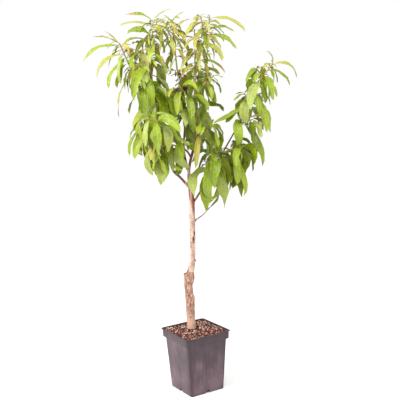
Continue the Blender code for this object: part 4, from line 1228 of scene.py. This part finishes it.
# The pale grey green tone in these lists is the painted sheen.
YOUNG_LARGE = ("khaki", "bright", "green", "silver", "deep", "khaki", "silver")
YOUNG_TIPS = ("bronze", "yellow", "bronze", "same")
HIGH_SMALL = ("khaki", "bright", "deep", "green", "shade")
HIGH_LARGE = ("bright", "green", "deep", "silver", "green", "deep", "deep", "silver")
HIGH_TIPS = ("bronze", "same", "same")
LOW_TONES = ("bright", "green", "green", "deep", "silver", "green", "shade", "deep",
             "bright", "green", "deep", "deep", "silver", "shade", "yellow")


def tone_of(leaf, nature):
    """Tones of a leaf and of its tip: khaki with bronze tips on young growth high up, green lower down."""
    height = leaf[0].z
    small = leaf[5] < SMALL_WIDTH
    inside = all(abs(value - middle) < half for value, middle, half in zip(leaf[0], *DRIED_PATCH))
    if small and inside:
        return nature.choice(DRIED_TONES)
    if height <= TOP_HEIGHT:
        tone = nature.choice(LOW_TONES)
        return tone, tone
    young = height > YOUNG_HEIGHT
    if not small:
        tone = nature.choice(YOUNG_LARGE if young else HIGH_LARGE)
        return tone, tone
    tone = nature.choice(YOUNG_SMALL if young else HIGH_SMALL)
    tip = nature.choice(YOUNG_TIPS if young else HIGH_TIPS)
    return tone, tone if tip == "same" else tip


def limb_of(path, start_width, end_width, sides):
    """Rings of a thin shoot along its path."""
    last = len(path) - 1
    return limb_rings([(point, (start_width + (end_width - start_width) * k / last) / 2)
                       for k, (point, _) in enumerate(path)], sides)


everything = packed_surface(*[mass.name for mass in MASSES], "trunk", *[bough.name for bough in BOUGHS])
by_limb = {}
shoots = bmesh.new()
standing = 0
for mass in MASSES:
    packed = packed_surface(mass.name)
    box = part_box(mass.name)
    stem, twigs, leaves = grown(mass, paths)
    twigs = [path for path in twigs if packed.find_nearest(path[-1][0])[3] < SAME_LEAF]
    loft(shoots, limb_of(stem, STEM_START, STEM_END, SHOOT_SIDES))
    for path in twigs:
        loft(shoots, limb_of(path, TWIG_START, STEM_END, SHOOT_SIDES))
    kept = []
    for tries in map(turned, leaves):
        kept += [leaf for leaf in tries if stands(leaf, packed)][:1]
    standing += len(kept)
    for number, path in enumerate([stem] + twigs):
        tuft = TUFT_LEAVES if path[-1][0].z > TOP_HEIGHT else LOW_TUFT_LEAVES
        further = leaves_on(smaller(mass, TUFT_SCALE), path[-2:], tuft, f"tuft {number}")
        for k, spur in enumerate(spurs_on(mass, path, number)):
            spur_leaves = leaves_on(smaller(mass, SPUR_SCALE), spur, SPUR_LEAVES, f"spur {number} {k}")
            spur_leaves = [leaf for leaf in spur_leaves if has_room(leaf, box, everything)]
            if len(spur_leaves) > 1:
                loft(shoots, limb_of(spur, SPUR_START, SPUR_END, SPUR_SIDES))
                kept += spur_leaves
        kept += [leaf for leaf in further if has_room(leaf, box, everything)]
    for number, leaf in enumerate(kept):
        nature = random.Random(f"{NATURE} {mass.seed} look {number}")
        by_limb.setdefault(mass.limb, []).append((leaf_body(leaf, nature), *tone_of(leaf, nature)))


# Spurs whose leaves have dried brown, along the upper part of the bough behind the leader's foliage.
DRIED_SPURS = 9
DRIED_BOUGH = "centre_bough"
DRIED_START = 0.7
DRIED_RISE = (-10, 60)
DRIED_LENGTH = (12, 34)
DRIED_SCALE = (0.3, 0.42)
withered = smaller(next(mass for mass in MASSES if mass.limb == DRIED_BOUGH), DRIED_SCALE)
for number in range(DRIED_SPURS):
    nature = random.Random(f"{NATURE} dried spur {number}")
    share = DRIED_START + (1 - DRIED_START) * (number + nature.random()) / DRIED_SPURS
    start, _ = point_along(paths[DRIED_BOUGH], share)
    heading = nature.uniform(0, 360)
    rise = nature.uniform(*DRIED_RISE)
    spur = arched(start, heading, rise, 0, nature.uniform(*DRIED_LENGTH) * MM, SPUR_SHARES)
    loft(shoots, limb_of(spur, SPUR_START, SPUR_END, SPUR_SIDES))
    for leaf in leaves_on(withered, spur, SPUR_LEAVES, f"dried {number}"):
        if has_room(leaf, (cad_low, cad_high), everything):
            by_limb[DRIED_BOUGH].append((leaf_body(leaf, nature), "dried", "dried"))


def green_shoot():
    """This year's shoots: smooth and green, flushed red where the sun falls on them."""
    made, tree, shader = new_material("green_shoot_bark", 0.45, 0.45)
    node(tree, "ShaderNodeValToRGB", links={"Fac": object_pattern(tree, (40, 40, 40), 2)},
         stops=((0.4, "#8F9A3A"), (0.6, "#A8743E")), into=shader.inputs["Base Color"])
    return made


shoot = placed(shoots, "green_shoots", green_shoot())
finished(shoot, "bough_bark", *[mass.name for mass in MASSES])
for limb, leaves in by_limb.items():
    foliage = joined_leaves("leaves_on_" + limb, leaves)
    finished(foliage, "leaf_green", *[mass.name for mass in MASSES if mass.limb == limb])
print("leaves", standing, "of the rule's,", sum(len(leaves) for leaves in by_limb.values()), "in all")


# The studio: a plain pale floor and white surroundings, a little dimmer as light than as background. Soft
# light falls from a wide ceiling and from two soft boxes, one on the left and one in front.

FLOOR_HALF = 6
FLOOR_GAP = 0.5 * MM
LIT_HEIGHT = 0.6
SOFT_BOX = 0.8
CEILING_LIGHT = 1.25
CEILING_SPREAD = math.radians(120)
WORLD_LIGHT = 0.7
PICTURE_PIXELS = 400
FOCAL_PIXELS = 790.6
SENSOR_MM = 36
CAMERA_PLACE = (0.0244, -2.0, 0.826)
CAMERA_DIP = math.radians(9.17)
CAMERA_ROLL = math.radians(-2.10)


def matt_floor():
    """Plain white paint, quite matt."""
    made, tree, shader = new_material("matt_pale_floor", 0.9, 0.2)
    shader.inputs["Base Color"].default_value = linear("#F4F4F2")
    return made


floor_mesh = bmesh.new()
bmesh.ops.create_grid(floor_mesh, x_segments=1, y_segments=1, size=FLOOR_HALF)
floor = placed(floor_mesh, "floor", matt_floor())
floor.location.z = -FLOOR_GAP

world = bpy.data.worlds.new("studio")
bpy.context.scene.world = world
world.use_nodes = True
background = world.node_tree.nodes["Background"]
background.inputs["Color"].default_value = (1, 1, 1, 1)
seen = node(world.node_tree, "ShaderNodeLightPath")
node(world.node_tree, "ShaderNodeMapRange", inputs={"To Min": WORLD_LIGHT, "To Max": 1.0},
     links={"Value": seen.outputs["Is Camera Ray"]}, into=background.inputs["Strength"])


def soft_light(name, location, power):
    """A square soft box that faces the middle of the plant."""
    lamp = bpy.data.lights.new(name, "AREA")
    lamp.size = SOFT_BOX
    lamp.energy = power
    made = in_scene(name, lamp)
    made.location = location
    aim = Vector((0, 0, LIT_HEIGHT)) - Vector(location)
    made.rotation_euler = aim.to_track_quat("-Z", "Y").to_euler()


soft_light("key_light", (-1.9, -1.3, 1.9), 60)
soft_light("front_light", (0.5, -2.1, 2.7), 42)
ceiling = bpy.data.lights.new("white_ceiling", "SUN")
ceiling.energy = CEILING_LIGHT
ceiling.angle = CEILING_SPREAD
in_scene("white_ceiling", ceiling)

lens = bpy.data.cameras.new("camera")
lens.sensor_width = SENSOR_MM
lens.lens = FOCAL_PIXELS / PICTURE_PIXELS * SENSOR_MM
camera = in_scene("camera", lens)
camera.matrix_world = (Matrix.Translation(CAMERA_PLACE) @ Matrix.Rotation(math.pi / 2 - CAMERA_DIP, 4, "X")
                       @ Matrix.Rotation(CAMERA_ROLL, 4, "Z"))
bpy.context.scene.camera = camera
bpy.context.scene.view_settings.view_transform = "Standard"
